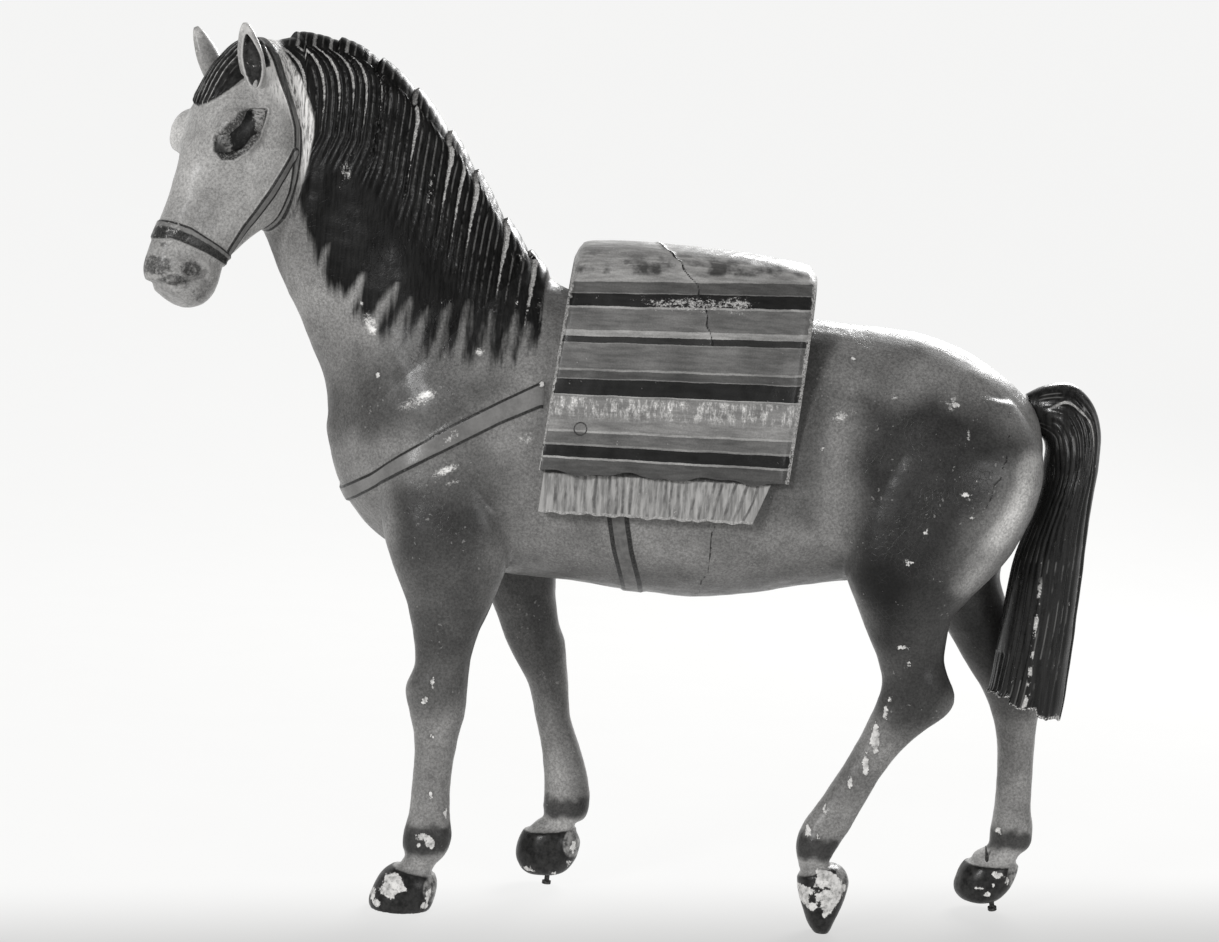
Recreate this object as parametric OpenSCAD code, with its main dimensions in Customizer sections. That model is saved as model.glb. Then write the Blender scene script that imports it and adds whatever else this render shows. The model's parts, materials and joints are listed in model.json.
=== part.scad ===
// Carved and painted wooden horse with a striped saddle blanket.
// The figure faces -X and its left side is towards -Y. Z = 0 is the surface that it stands on.
// It is an assembly of carved blocks joined with round wooden dowels and pegs.

/* [Pose] */
// How far the head is turned to the horse's left, in degrees
head_turn = 38; // [34:1:40]
// Distance from the middle of the body to the middle of each leg
leg_offset = 33; // [31:0.5:35]

/* [Joints] */
// Radius of the dowels that hold the legs
leg_dowel_r = 5; // [4:0.5:6]
// How far a leg dowel goes into each of its two blocks
leg_dowel_depth = 20; // [14:1:22]
// Radius of the two dowels between neck and body
neck_dowel_r = 6; // [4:0.5:7]
// How far a neck dowel goes into each of its two blocks
neck_dowel_depth = 22; // [16:1:26]
// Radius of the dowel between head and neck
head_dowel_r = 5; // [4:0.5:5.5]
// How far the head dowel goes into each of its two blocks
head_dowel_depth = 15; // [12:1:17]
// Radius of the peg that the tail is pushed on by
tail_peg_r = 4.5; // [3.5:0.5:5]
// Length of the tail peg inside the body
tail_peg_depth = 24; // [18:1:28]
// Gap between a glued dowel and its hole
glue_gap = 0.1; // [0.05:0.05:0.2]
// Gap between the tail peg and its hole
peg_gap = 0.06; // [0.04:0.01:0.1]

/* [Saddle] */
// Height of the top of the saddle block
saddle_top_z = 334; // [330:1:338]
// Lowest edge of the carved fringe
fringe_z = 202; // [198:1:206]
// Edge between the blanket and its fringe
hem_z = 222; // [218:1:226]
// How far the fringe lies behind the face of the blanket
fringe_step = 1.4; // [0.8:0.2:2]
// Radius of the wooden pegs that hold the saddle block
saddle_peg_r = 3.2; // [2.5:0.1:3.6]

/* [Eyes] */
// Half length of an eye, from its front corner to its rear one
eye_half_long = 13; // [11:0.5:13.5]
// Half height of an eye
eye_half_short = 6.5; // [5.5:0.5:7]

/* [Nails] */
// Radius of an iron nail's shank
nail_r = 1.3; // [1:0.1:1.6]
// Radius of a nail's head
nail_head_r = 2.3; // [2:0.1:3]
// Thickness of a nail's head
nail_head_t = 1.6; // [1.2:0.1:2]

/* [Hidden] */
sides = 24;             // points round a section of the body
leg_sides = 16;         // points round a section of a leg
far = 400;              // larger than anything that is cut away
through = 40;           // carries a peg's hole right out of the wood
$fn = 48;

// Heights of the flat joints between the legs and the body
fore_joint_z = 152;
hind_joint_z = 160;

// A section is [x and z of its front or upper edge, x and z of its rear or lower edge,
// half width, offset in y, turn about z, fullness towards the first edge].
trunk_sections = [
    [209, 248, 209, 226, 8, 0, 0, 0],
    [205, 261, 204, 207, 21, 0, 0, 0],
    [196, 271, 194, 190, 33, 0, 0, 0],
    [183, 281, 179, 179, 41, 0, 0, 0],
    [166, 290, 159, 175, 47, 0, 0, -0.05],
    [148, 296, 136, 173, 50, 0, 0, -0.08],
    [130, 298, 112, 171, 51, 0, 0, -0.10],
    [112, 299, 90, 167, 52, 0, 0, -0.12],
    [95, 300, 65, 162, 53, 0, 0, -0.14],
    [78, 300, 36, 159, 54, 0, 0, -0.15],
    [62, 300, 5, 161, 54, 0, 0, -0.15],
    [45, 300, -30, 164, 53, 0, 0, -0.14],
    [25, 301, -65, 166, 51, 0, 0, -0.12],
    [5, 302, -95, 170, 49, 0, 0, -0.10],
    [-12, 304, -117, 180, 47, 0, 0, -0.08],
    [-26, 307, -132, 194, 45, 0, 0, -0.06],
    [-38, 312, -141, 210, 42, 0, 0, -0.05],
    [-48, 320.5, -145, 223, 39, 0, 0, -0.05]
];
neck_sections = [
    [-48, 320.5, -145, 223, 39, 0, 0, -0.05],
    [-65, 341, -147, 232, 35, 0, 0, -0.06],
    [-83, 367, -147, 243, 31, -0.5, 2, -0.08],
    [-101, 390, -150, 258, 27, -1.5, 6, -0.10],
    [-120, 408, -157, 275, 23.5, -3, 11, -0.12],
    [-140, 419.5, -165, 293, 20.5, -4.5, 17, -0.12],
    [-159, 424, -173, 309, 18.5, -6.5, 23, -0.10],
    [-176, 423, -180, 326, 17, -9, 29, 0],
    [-192, 416, -188, 340, 13, -14, 34, 0]
];
// The head's own frame: x = 0 is the axis that it turns on, and its face looks towards -x.
head_sections = [
    [-17, 421.5, -4, 421, 8, 0, 0, 0],
    [-26, 417, 5, 408, 16, 0, 0, 0.05],
    [-36, 406, 10, 392, 20.5, 0, 0, 0.08],
    [-43, 393, 12, 375, 23.5, 0, 0, 0.10],
    [-48, 380, 10, 359, 25, 0, 0, 0.06],
    [-52, 367, 4, 345, 23.5, 0, 0, 0],
    [-55, 355, -6, 333, 20.5, 0, 0, -0.04],
    [-58.5, 343, -16, 325.5, 17.5, 0, 0, -0.04],
    [-62.5, 332, -25, 317.5, 15.5, 0, 0, 0],
    [-66.5, 322, -31, 311, 14.5, 0, 0, 0],
    [-69.5, 313, -33, 303.5, 14.5, 0, 0, 0],
    [-70.5, 305.5, -36, 296, 13.5, 0, 0, 0],
    [-66.5, 299, -42, 291, 11, 0, 0, 0],
    [-59, 295, -49, 289.5, 6, 0, 0, 0]
];
head_pivot = [-176, -6];
head_joint_top = [3, 421];      // two points of the flat joint between head and neck,
head_joint_foot = [-1.5, 324];  // as x and z in the head's own frame
head_joint_tilt = atan2(head_joint_top[0] - head_joint_foot[0], head_joint_top[1] - head_joint_foot[1]);

shoulder_left_sections = [
    [-113, 248, -62, 246, 12, -leg_offset + 6, 0, 0],
    [-116, 215, -53, 212, 19, -leg_offset + 3, 0, 0],
    [-114, 190, -49, 190, 20, -leg_offset, 0, 0],
    [-108, 171, -52, 172, 18.5, -leg_offset, 0, 0],
    [-100, fore_joint_z, -59, fore_joint_z, 16, -leg_offset, 0, 0]
];
foreleg_left_sections = [
    [-100, fore_joint_z, -59, fore_joint_z, 16, -leg_offset, 0, 0],
    [-96, 135, -65, 137, 13.5, -leg_offset, 0, 0],
    [-95, 121, -68, 123, 12, -leg_offset, 0, 0],
    [-98.5, 109, -68.5, 108, 12, -leg_offset, 0, 0],
    [-96, 97, -69, 98, 11, -leg_offset, 0, 0],
    [-93, 82, -72, 84, 9, -leg_offset, 0, 0],
    [-93, 65, -74, 66, 8, -leg_offset, 0, 0],
    [-94, 48, -74, 49, 8.5, -leg_offset, 0, 0],
    [-96, 38, -72.5, 36, 10, -leg_offset, 0, 0],
    [-96, 31, -75, 28, 10, -leg_offset, 0, 0],
    [-94.5, 25.5, -80, 22, 8.5, -leg_offset, 0, 0],
    [-99, 22, -80, 17, 10, -leg_offset, 0, 0],
    [-106, 16, -79, 12, 13, -leg_offset, 0, 0],
    [-110.5, 5, -80.5, 4, 14, -leg_offset, 0, 0],
    [-110, 0, -82.5, 0, 13.5, -leg_offset, 0, 0]
];
shoulder_right_sections = [
    [-108, 248, -58, 246, 12, leg_offset - 6, 0, 0],
    [-106, 215, -46, 212, 19, leg_offset - 3, 0, 0],
    [-92, 190, -34, 190, 20, leg_offset, 0, 0],
    [-78, 171, -30, 172, 18.5, leg_offset, 0, 0],
    [-64, fore_joint_z, -29, fore_joint_z, 16, leg_offset, 0, 0]
];
foreleg_right_sections = [
    [-64, fore_joint_z, -29, fore_joint_z, 16, leg_offset, 0, 0],
    [-58, 138, -26.5, 137, 13.5, leg_offset, 0, 0],
    [-53, 126, -23, 127, 12, leg_offset, 0, 0],
    [-46, 114, -21.5, 116, 11.5, leg_offset, 0, 0],
    [-40, 103, -20, 104, 10.5, leg_offset, 0, 0],
    [-36, 88, -18, 88, 9, leg_offset, 0, 0],
    [-32, 72, -12.5, 73, 8.5, leg_offset, 0, 0],
    [-29.5, 56, -7.5, 58, 9, leg_offset, 0, 0],
    [-29, 47, -5.5, 46, 10, leg_offset, 0, 0],
    [-29, 40, -7, 37, 10, leg_offset, 0, 0],
    [-28.5, 35.5, -12, 32, 8.5, leg_offset, 0, 0],
    [-32, 33, -12, 28, 10, leg_offset, 0, 0],
    [-38.5, 27, -10, 23, 12.5, leg_offset, 0, 0],
    [-41.5, 16, -11.5, 15, 13.5, leg_offset, 0, 0],
    [-38.5, 9, -15.5, 9, 12, leg_offset, 0, 0],
    [-35, 7, -20, 7, 9, leg_offset, 0, 0]
];
haunch_left_sections = [
    [122, 272, 190, 266, 12, -leg_offset + 8, 0, 0],
    [112, 243, 205, 244, 22, -leg_offset + 4, 0, 0],
    [109, 218, 204.5, 220, 25, -leg_offset + 2, 0, 0],
    [110, 196, 193.5, 193, 24.5, -leg_offset + 1, 0, 0],
    [114, 177, 178, 174, 22, -leg_offset, 0, 0],
    [121, hind_joint_z, 166, hind_joint_z, 18, -leg_offset, 0, 0]
];
hind_leg_left_sections = [
    [121, hind_joint_z, 166, hind_joint_z, 18, -leg_offset, 0, 0],
    [127, 147, 164, 148, 15.5, -leg_offset, 0, 0],
    [132, 136, 164.5, 135, 13.5, -leg_offset, 0, 0],
    [134.5, 125, 170, 121, 12, -leg_offset, 0, 0],
    [132, 114, 167, 112, 11.5, -leg_offset, 0, 0],
    [127, 101, 156, 103, 10.5, -leg_offset, 0, 0],
    [120.5, 88, 145.5, 92, 9.5, -leg_offset, 0, 0],
    [114, 76, 137, 80, 9, -leg_offset, 0, 0],
    [107, 64, 130.5, 67, 8.5, -leg_offset, 0, 0],
    [100.5, 54, 124, 54, 9, -leg_offset, 0, 0],
    [97.5, 45, 118.5, 44.5, 10, -leg_offset, 0, 0],
    [98, 37.5, 115, 38, 9, -leg_offset, 0, 0],
    [99.5, 32.5, 115, 34.5, 8.5, -leg_offset, 0, 0],
    [99.5, 27, 120.5, 32, 10.5, -leg_offset, 0, 0],
    [100.5, 20, 123.5, 26, 12, -leg_offset, 0, 0],
    [103, 12, 122, 17, 11, -leg_offset, 0, 0],
    [106, 4.5, 118.5, 7.5, 8.5, -leg_offset, 0, 0],
    [109.5, 0, 115, 0, 5, -leg_offset, 0, 0]
];
haunch_right_sections = [
    [124, 272, 190, 266, 12, leg_offset - 8, 0, 0],
    [118, 243, 208, 243, 22, leg_offset - 4, 0, 0],
    [126, 218, 209, 219, 25, leg_offset - 2, 0, 0],
    [136, 196, 203, 195, 24.5, leg_offset - 1, 0, 0],
    [149, 177, 198, 176, 21.5, leg_offset, 0, 0],
    [162, hind_joint_z, 203, hind_joint_z, 18, leg_offset, 0, 0]
];
hind_leg_right_sections = [
    [162, hind_joint_z, 203, hind_joint_z, 18, leg_offset, 0, 0],
    [171, 148, 209, 150, 16, leg_offset, 0, 0],
    [179, 136, 217, 139, 14, leg_offset, 0, 0],
    [187, 124, 225, 126, 12.5, leg_offset, 0, 0],
    [195, 112, 226.5, 115, 12, leg_offset, 0, 0],
    [200.5, 99, 223, 102, 10.5, leg_offset, 0, 0],
    [203, 86, 222, 87, 9.5, leg_offset, 0, 0],
    [204, 69, 222, 69, 8.5, leg_offset, 0, 0],
    [204, 55, 222.5, 55, 9, leg_offset, 0, 0],
    [203, 45, 224, 44, 10, leg_offset, 0, 0],
    [202.5, 38, 223, 35, 10, leg_offset, 0, 0],
    [202, 33.5, 217.5, 29.5, 8.5, leg_offset, 0, 0],
    [196.5, 30, 217.5, 25, 10.5, leg_offset, 0, 0],
    [189.5, 22, 216.5, 19, 13, leg_offset, 0, 0],
    [186.5, 12, 213.5, 12, 13.5, leg_offset, 0, 0],
    [189, 7, 209, 7, 11.5, leg_offset, 0, 0],
    [193, 5, 205, 5, 8.5, leg_offset, 0, 0]
];
tail_sections = [
    [200, 269.5, 208, 250, 7, 0, 0, 0],
    [208.5, 274, 211, 246, 11, 0, 0, 0],
    [220, 276, 212, 241, 14, 0, 0, 0],
    [228, 272, 211.5, 234, 15.5, 0, 0, 0],
    [234, 264, 211, 225, 16.5, 0, 0, 0],
    [237.5, 252, 208.5, 214, 17, 0, 0, 0],
    [237.5, 236, 204, 200, 17.5, 0, 0, 0],
    [235.5, 215, 199.8, 186, 17.5, 0, 0, 0],
    [234, 190, 197.5, 171, 17.5, 0, 0, 0],
    [232.5, 165, 195.6, 154, 17.5, 0, 0, 0],
    [231, 140, 193.5, 134, 17.5, 0, 0, 0],
    [229.5, 120, 191.5, 119, 17, 0, 0, 0],
    [228, 108, 190.5, 114, 17, 0, 0, 0]
];
// The saddle block: [x at its foot, x at its top, height of its foot, top, half width].
saddle_sections = [
    [-39, -28, hem_z, saddle_top_z - 9, 58],
    [-36, -20, hem_z, saddle_top_z - 1, 61],
    [-12, 4, hem_z, saddle_top_z, 62],
    [20, 32, hem_z, saddle_top_z - 1, 62],
    [50, 60, hem_z, saddle_top_z - 3, 61.5],
    [74, 84, hem_z, saddle_top_z - 6.5, 60],
    [81, 91, hem_z, saddle_top_z - 12, 57]
];
fringe_sections = [
    [-37, -29, fringe_z, saddle_top_z - 40, 57.5 - fringe_step],
    [-34, -26, fringe_z, saddle_top_z - 40, 60 - fringe_step],
    [20, 26, fringe_z, saddle_top_z - 40, 62 - fringe_step],
    [63, 68, fringe_z, saddle_top_z - 40, 61 - fringe_step]
];
saddle_peg_places = [[-20, 243], [76, 236]];    // x and z, on each side
saddle_peg_inner_y = 36;
saddle_peg_outer_y = 60.5;
saddle_peg_hole_depth = 60;
tail_peg_tilt = 10;                             // the peg rises this many degrees outwards
tail_peg_place = [208, 0, 262];                 // where its axis leaves the body
tail_peg_out = 16;                              // how far it goes into the tail
tail_clearance = 0.25;                          // the tail's root is hollowed to sit on the rump
neck_dowel_places = [[-82, 286.6], [-112, 256.4]];
neck_joint_angle = 45.3;                        // slope of the joint between neck and body
head_dowel_place = [1, 0, 378];  // on the joint, in the head's own frame
head_dowel_turn = -10;           // the dowel runs between the head's direction and the neck's
dowel_end_gap = 1;               // a dowel's hole goes this much deeper than the dowel
ear_place = [-25.5, 17, 398];    // foot of an ear in the head's own frame, mirrored for the left ear
ear_lean = [13, 22];             // degrees outwards and forwards
ear_turn = [-55, 10];            // degrees that the left and the right hollow are turned
ear_tenon_r = 3;
ear_tenon_length = 12;
ear_tenon_overlap = 6;           // how far the tenon runs up inside the ear
// An ear's sections: height, half width, half depth.
ear_stages = [[-4, 4, 3.5], [2, 5.6, 4.5], [9, 6.5, 4.6], [17, 6.2, 4.2], [25, 4.2, 3], [31, 1.8, 1.5]];
ear_sides = 14;                  // points round a section of an ear
brow_r = 12;
brow_left = [-33, -15.5, 375];   // in the head's own frame
brow_right = [-38, 18, 373];
nail_length = 36;
nail_tip_r = 0.2;
nail_gap = 0.02;                // between a nail's shank and the wood
nail_point = 9;                 // length of the tapered point
nail_fore_lean = 4;             // degrees about y
nail_hind_lean = -11;
nail_hind_aside = 11;            // degrees about x: its point breaks out beside the pastern
nail_hind_tilt = acos(cos(nail_hind_lean) * cos(nail_hind_aside));
// Foot of each nail, lifted so that the edge of its leaning head just meets Z = 0
nail_fore_foot = [-25.5, leg_offset, nail_head_r * sin(abs(nail_fore_lean))];
nail_hind_foot = [206, leg_offset - 3, nail_head_r * sin(nail_hind_tilt)];
eye_place = [-35, 20.5, 374.5];  // in the head's own frame, mirrored for the left eye
eye_half_deep = 4.5;
eye_rise = 44;                   // degrees that the rear corner is raised
eye_turn = 18;                   // degrees that the rear corner is turned outwards
eye_sides = 16;                  // points round an eye
section_power = 0.92;            // under 1 gives the sections slightly full corners
arch_rise_power = 0.75;          // how the saddle's arch fills its upper corners
arch_side_power = 0.5;
arch_taper = 0.14;               // share of its width that the arch loses at the top
saddle_sides = 24;               // steps round the saddle's arch
trunk_clearance = 0.2;           // between the saddle block and the body

// --- Lofts ---------------------------------------------------------------------------------

// A number raised to a power with its sign kept.
function keep_sign(v, power) = sign(v) * pow(abs(v), power);

// A point between sections b and c, on a smooth curve that passes through a, b, c and d.
function smooth_step(a, b, c, d, t) =
    0.5 * (2 * b + (c - a) * t + (2 * a - 5 * b + 4 * c - d) * t * t + (3 * b - a - 3 * c + d) * t * t * t);

function refine(list, steps) = let (n = len(list)) [
    for (i = [0 : n - 2], k = [0 : steps - 1])
        smooth_step(list[max(i - 1, 0)], list[i], list[i + 1], list[min(i + 2, n - 1)], k / steps),
    list[n - 1]
];

// Points round one section. grow moves them outwards.
function section_ring(s, n, grow) =
    let (middle_x = (s[0] + s[2]) / 2, middle_z = (s[1] + s[3]) / 2,
         half_x = (s[0] - s[2]) / 2, half_z = (s[1] - s[3]) / 2,
         half = norm([half_x, half_z]), share = (half + grow) / half)
    [for (j = [0 : n - 1])
        let (a = 360 * j / n, along = keep_sign(cos(a), section_power) * share,
             across = keep_sign(sin(a), section_power) * (s[4] + grow) * (1 + s[7] * cos(a)))
        [middle_x + half_x * along - sin(s[6]) * across,
         s[5] + cos(s[6]) * across,
         middle_z + half_z * along]];

// Closed skin over rings of n points each. reverse turns it the right way out.
module skin(rings, reverse = false) {
    n = len(rings[0]);
    last = (len(rings) - 1) * n;
    walls = [for (i = [0 : len(rings) - 2], j = [0 : n - 1], k = [0, 1])
        let (a = i * n + j, b = i * n + (j + 1) % n)
        k == 0 ? [a, a + n, b + n] : [a, b + n, b]];
    ends = [[for (j = [0 : n - 1]) j], [for (j = [n - 1 : -1 : 0]) last + j]];
    faces = concat(walls, ends);
    turned = [for (f = faces) [for (i = [len(f) - 1 : -1 : 0]) f[i]]];
    polyhedron(points = [for (r = rings) each r], faces = reverse ? turned : faces, convexity = 10);
}

module loft(sections, n, steps = 2, grow = 0, reverse = false) {
    skin([for (s = refine(sections, steps)) section_ring(s, n, grow)], reverse);
}

// Half of a rounded arch in the Y-Z plane, closed by a flat foot.
// s is [foot x, top x, foot z, top z, half width].
function arch_ring(s, n) = [
    for (j = [0 : n])
        let (a = 180 * j / n, up = pow(sin(a), arch_rise_power),
             out = keep_sign(cos(a), arch_side_power))
        [s[0] + (s[1] - s[0]) * up, -s[4] * out * (1 - arch_taper * up), s[2] + (s[3] - s[2]) * up]];

// --- Shared shapes -------------------------------------------------------------------------

module place_head() {
    translate([head_pivot[0], head_pivot[1], 0]) rotate([0, 0, head_turn]) children();
}

// Everything behind (side = 1) or in front of (side = -1) the flat joint between head and neck.
module beyond_head_joint(side) {
    translate([head_joint_foot[0], 0, head_joint_foot[1]]) rotate([0, head_joint_tilt, 0])
        translate([side * far / 2, 0, 0]) cube(far, center = true);
}

// A dowel along +Z through the origin, with an equal length on each side.
module dowel(r, half_length) {
    translate([0, 0, -half_length]) cylinder(r = r, h = 2 * half_length);
}

module dowel_hole(r, half_length) {
    dowel(r + glue_gap, half_length + dowel_end_gap);
}

module at_neck_dowels() {
    for (p = neck_dowel_places) translate([p[0], 0, p[1]]) rotate([0, -neck_joint_angle, 0]) children();
}

module at_head_dowel() {
    place_head() translate(head_dowel_place) rotate([0, 90 + head_joint_tilt, head_dowel_turn]) children();
}

module at_saddle_pegs() {
    for (p = saddle_peg_places, side = [-1, 1])
        translate([p[0], side * saddle_peg_inner_y, p[1]]) rotate([-90 * side, 0, 0]) children();
}

module at_tail_peg() {
    translate(tail_peg_place) rotate([0, 90 - tail_peg_tilt, 0]) children();
}

// Middle of a leg's flat joint, from the leg's own first section.
module at_leg_joint(sections) {
    s = sections[0];
    translate([(s[0] + s[2]) / 2, s[5], s[1]]) children();
}

module at_nail(foot, lean, aside = 0) {
    translate(foot) rotate([aside, lean, 0]) children();
}

module leg(sections) {
    color("#6e6c6a") difference() {
        loft(sections, leg_sides);
        at_leg_joint(sections) dowel_hole(leg_dowel_r, leg_dowel_depth);
        at_nail(nail_fore_foot, nail_fore_lean) nail_hole();
        at_nail(nail_hind_foot, nail_hind_lean, nail_hind_aside) nail_hole();
    }
}

module nail_hole() {
    cylinder(r = nail_r + nail_gap, h = nail_length + dowel_end_gap);
}

module leg_dowel(sections) {
    color("#b79b72") at_leg_joint(sections) dowel(leg_dowel_r, leg_dowel_depth);
}

// --- Sub-parts -----------------------------------------------------------------------------

module trunk() {
    color("#7d7b78") difference() {
        union() {
            loft(trunk_sections, sides);
            loft(shoulder_left_sections, leg_sides);
            loft(shoulder_right_sections, leg_sides);
            loft(haunch_left_sections, leg_sides);
            loft(haunch_right_sections, leg_sides);
        }
        at_neck_dowels() dowel_hole(neck_dowel_r, neck_dowel_depth);
        for (s = [foreleg_left_sections, foreleg_right_sections,
                  hind_leg_left_sections, hind_leg_right_sections])
            at_leg_joint(s) dowel_hole(leg_dowel_r, leg_dowel_depth);
        at_saddle_pegs() translate([0, 0, -dowel_end_gap]) cylinder(r = saddle_peg_r + glue_gap, h = through);
        at_tail_peg() translate([0, 0, -tail_peg_depth - dowel_end_gap])
            cylinder(r = tail_peg_r + peg_gap, h = tail_peg_depth + through);
    }
}

module neck() {
    color("#3a3938") difference() {
        loft(neck_sections, sides);
        place_head() beyond_head_joint(-1);
        at_neck_dowels() dowel_hole(neck_dowel_r, neck_dowel_depth);
        at_head_dowel() dowel_hole(head_dowel_r, head_dowel_depth);
    }
}

// A flattened ball for an eye, with its length along x.
module eye_ball(grow) {
    rings = [for (a = [-75 : 25 : 75]) [for (j = [0 : eye_sides - 1])
        let (b = 360 * j / eye_sides)
        [(eye_half_long + grow) * cos(a) * cos(b), (eye_half_deep + grow) * sin(a),
         (eye_half_short + grow) * cos(a) * sin(b)]]];
    skin(rings, true);
}

module at_eye(side) {
    place_head() translate([eye_place[0], side * eye_place[1], eye_place[2]])
        rotate([0, 0, side * eye_turn]) rotate([0, -eye_rise, 0]) children();
}

module brow(place) {
    translate(place) sphere(r = brow_r);
}

module at_ear(side) {
    place_head() translate([ear_place[0], side * ear_place[1], ear_place[2]])
        rotate([-side * ear_lean[0], -ear_lean[1], 0]) rotate([0, 0, side < 0 ? ear_turn[0] : ear_turn[1]])
        children();
}

module ear_tenon(grow) {
    translate([0, 0, -ear_tenon_length - grow])
        cylinder(r = ear_tenon_r + grow, h = ear_tenon_length + ear_tenon_overlap);
}

module ear_leaf() {
    skin([for (s = ear_stages) [for (j = [0 : ear_sides - 1])
        let (a = 360 * j / ear_sides) [s[1] * cos(a), s[2] * sin(a), s[0]]]]);
}

module ear(side) {
    color("#9a9997") at_ear(side) union() {
        ear_leaf();
        ear_tenon(0);
    }
}

module head() {
    color("#8f8d8a") difference() {
        place_head() difference() {
            union() {
                loft(head_sections, sides);
                brow(brow_left);
                brow(brow_right);
            }
            beyond_head_joint(1);
        }
        for (side = [-1, 1]) {
            at_eye(side) eye_ball(glue_gap);
            at_ear(side) ear_tenon(glue_gap);
            at_ear(side) ear_leaf();
        }
        at_head_dowel() dowel_hole(head_dowel_r, head_dowel_depth);
    }
}

module eye(side) {
    color("#262524") at_eye(side) eye_ball(0);
}

module tail() {
    color("#2b2a29") difference() {
        loft(tail_sections, sides, reverse = true);
        loft(trunk_sections, sides, grow = tail_clearance);
        at_tail_peg() dowel_hole(tail_peg_r, tail_peg_out);
    }
}

module saddle() {
    color("#5c5a58") difference() {
        union() {
            skin([for (s = saddle_sections) arch_ring(s, saddle_sides)], true);
            skin([for (s = fringe_sections) arch_ring(s, saddle_sides)], true);
        }
        loft(trunk_sections, sides, grow = trunk_clearance);
        loft(shoulder_left_sections, leg_sides, grow = trunk_clearance);
        loft(shoulder_right_sections, leg_sides, grow = trunk_clearance);
        at_saddle_pegs() cylinder(r = saddle_peg_r + glue_gap, h = saddle_peg_hole_depth);
    }
}

module neck_dowels() {
    color("#b79b72") at_neck_dowels() dowel(neck_dowel_r, neck_dowel_depth);
}

module head_dowel() {
    color("#b79b72") at_head_dowel() dowel(head_dowel_r, head_dowel_depth);
}

module tail_peg() {
    color("#b79b72") at_tail_peg() translate([0, 0, -tail_peg_depth])
        cylinder(r = tail_peg_r, h = tail_peg_depth + tail_peg_out);
}

module saddle_pegs() {
    color("#6b6967") at_saddle_pegs() cylinder(r = saddle_peg_r, h = saddle_peg_outer_y - saddle_peg_inner_y);
}

// A nail with the flat face of its head at the origin and its point towards +Z.
module nail() {
    color("#4a4745") {
        cylinder(r = nail_head_r, h = nail_head_t);
        cylinder(r = nail_r, h = nail_length - nail_point);
        translate([0, 0, nail_length - nail_point]) cylinder(r1 = nail_r, r2 = nail_tip_r, h = nail_point);
    }
}

trunk();
neck();
head();
ear(-1);  // ear_left
ear(1);  // ear_right
eye(-1);  // eye_left
eye(1);  // eye_right
leg(foreleg_left_sections);  // foreleg_left
leg(foreleg_right_sections);  // foreleg_right
leg(hind_leg_left_sections);  // hind_leg_left
leg(hind_leg_right_sections);  // hind_leg_right
tail();
saddle();
neck_dowels();
head_dowel();
leg_dowel(foreleg_left_sections);  // foreleg_left_dowel
leg_dowel(foreleg_right_sections);  // foreleg_right_dowel
leg_dowel(hind_leg_left_sections);  // hind_leg_left_dowel
leg_dowel(hind_leg_right_sections);  // hind_leg_right_dowel
tail_peg();
saddle_pegs();
at_nail(nail_fore_foot, nail_fore_lean) nail();  // nail_foreleg_right
at_nail(nail_hind_foot, nail_hind_lean, nail_hind_aside) nail();  // nail_hind_leg_right
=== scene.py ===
"""A carved and painted wooden horse with a striped saddle block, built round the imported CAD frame."""
import json
import math

import bmesh
import bpy
import numpy as np
from mathutils import Matrix, Vector

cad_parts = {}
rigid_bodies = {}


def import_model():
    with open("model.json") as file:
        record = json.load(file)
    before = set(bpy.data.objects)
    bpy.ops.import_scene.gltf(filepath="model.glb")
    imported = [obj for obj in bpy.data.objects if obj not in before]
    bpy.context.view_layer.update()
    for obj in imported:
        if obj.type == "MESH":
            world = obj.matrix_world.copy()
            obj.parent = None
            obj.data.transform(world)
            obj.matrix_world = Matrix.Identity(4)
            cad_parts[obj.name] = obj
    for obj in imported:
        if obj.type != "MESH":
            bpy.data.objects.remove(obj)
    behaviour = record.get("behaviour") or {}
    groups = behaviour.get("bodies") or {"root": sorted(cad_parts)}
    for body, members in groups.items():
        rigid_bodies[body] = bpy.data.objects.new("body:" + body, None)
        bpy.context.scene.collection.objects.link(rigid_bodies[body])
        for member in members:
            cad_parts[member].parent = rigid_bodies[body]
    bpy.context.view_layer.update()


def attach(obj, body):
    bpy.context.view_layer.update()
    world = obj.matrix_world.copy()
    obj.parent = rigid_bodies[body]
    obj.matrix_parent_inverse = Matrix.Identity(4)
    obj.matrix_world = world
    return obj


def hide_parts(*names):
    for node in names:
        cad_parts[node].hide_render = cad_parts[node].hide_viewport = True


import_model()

MM = 0.001
SKIN_GRID = 1.45           # of the figure's skin, in millimetres

# --- The carved masses, in millimetres ------------------------------------------------------
# A section is [x and z of its front or upper edge, x and z of its rear or lower edge,
# half width, offset in y, turn about z, fullness towards the first edge], as in the CAD source.
LEG = 33
FORE_JOINT_Z, HIND_JOINT_Z = 152, 160
TRUNK = [
    [209, 248, 209, 226, 8, 0, 0, 0], [205, 261, 204, 207, 21, 0, 0, 0], [196, 271, 194, 190, 33, 0, 0, 0],
    [183, 281, 179, 179, 41, 0, 0, 0], [166, 290, 159, 175, 47, 0, 0, -.05], [148, 296, 136, 173, 50, 0, 0, -.08],
    [130, 298, 112, 171, 51, 0, 0, -.10], [112, 299, 90, 167, 52, 0, 0, -.12], [95, 300, 65, 162, 53, 0, 0, -.14],
    [78, 300, 36, 159, 54, 0, 0, -.15], [62, 300, 5, 161, 54, 0, 0, -.15], [45, 300, -30, 164, 53, 0, 0, -.14],
    [25, 301, -65, 166, 51, 0, 0, -.12], [5, 302, -95, 170, 49, 0, 0, -.10], [-12, 304, -117, 180, 47, 0, 0, -.08],
    [-26, 307, -132, 194, 45, 0, 0, -.06], [-38, 312, -141, 210, 42, 0, 0, -.05],
    [-48, 320.5, -145, 223, 39, 0, 0, -.05]]
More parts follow.
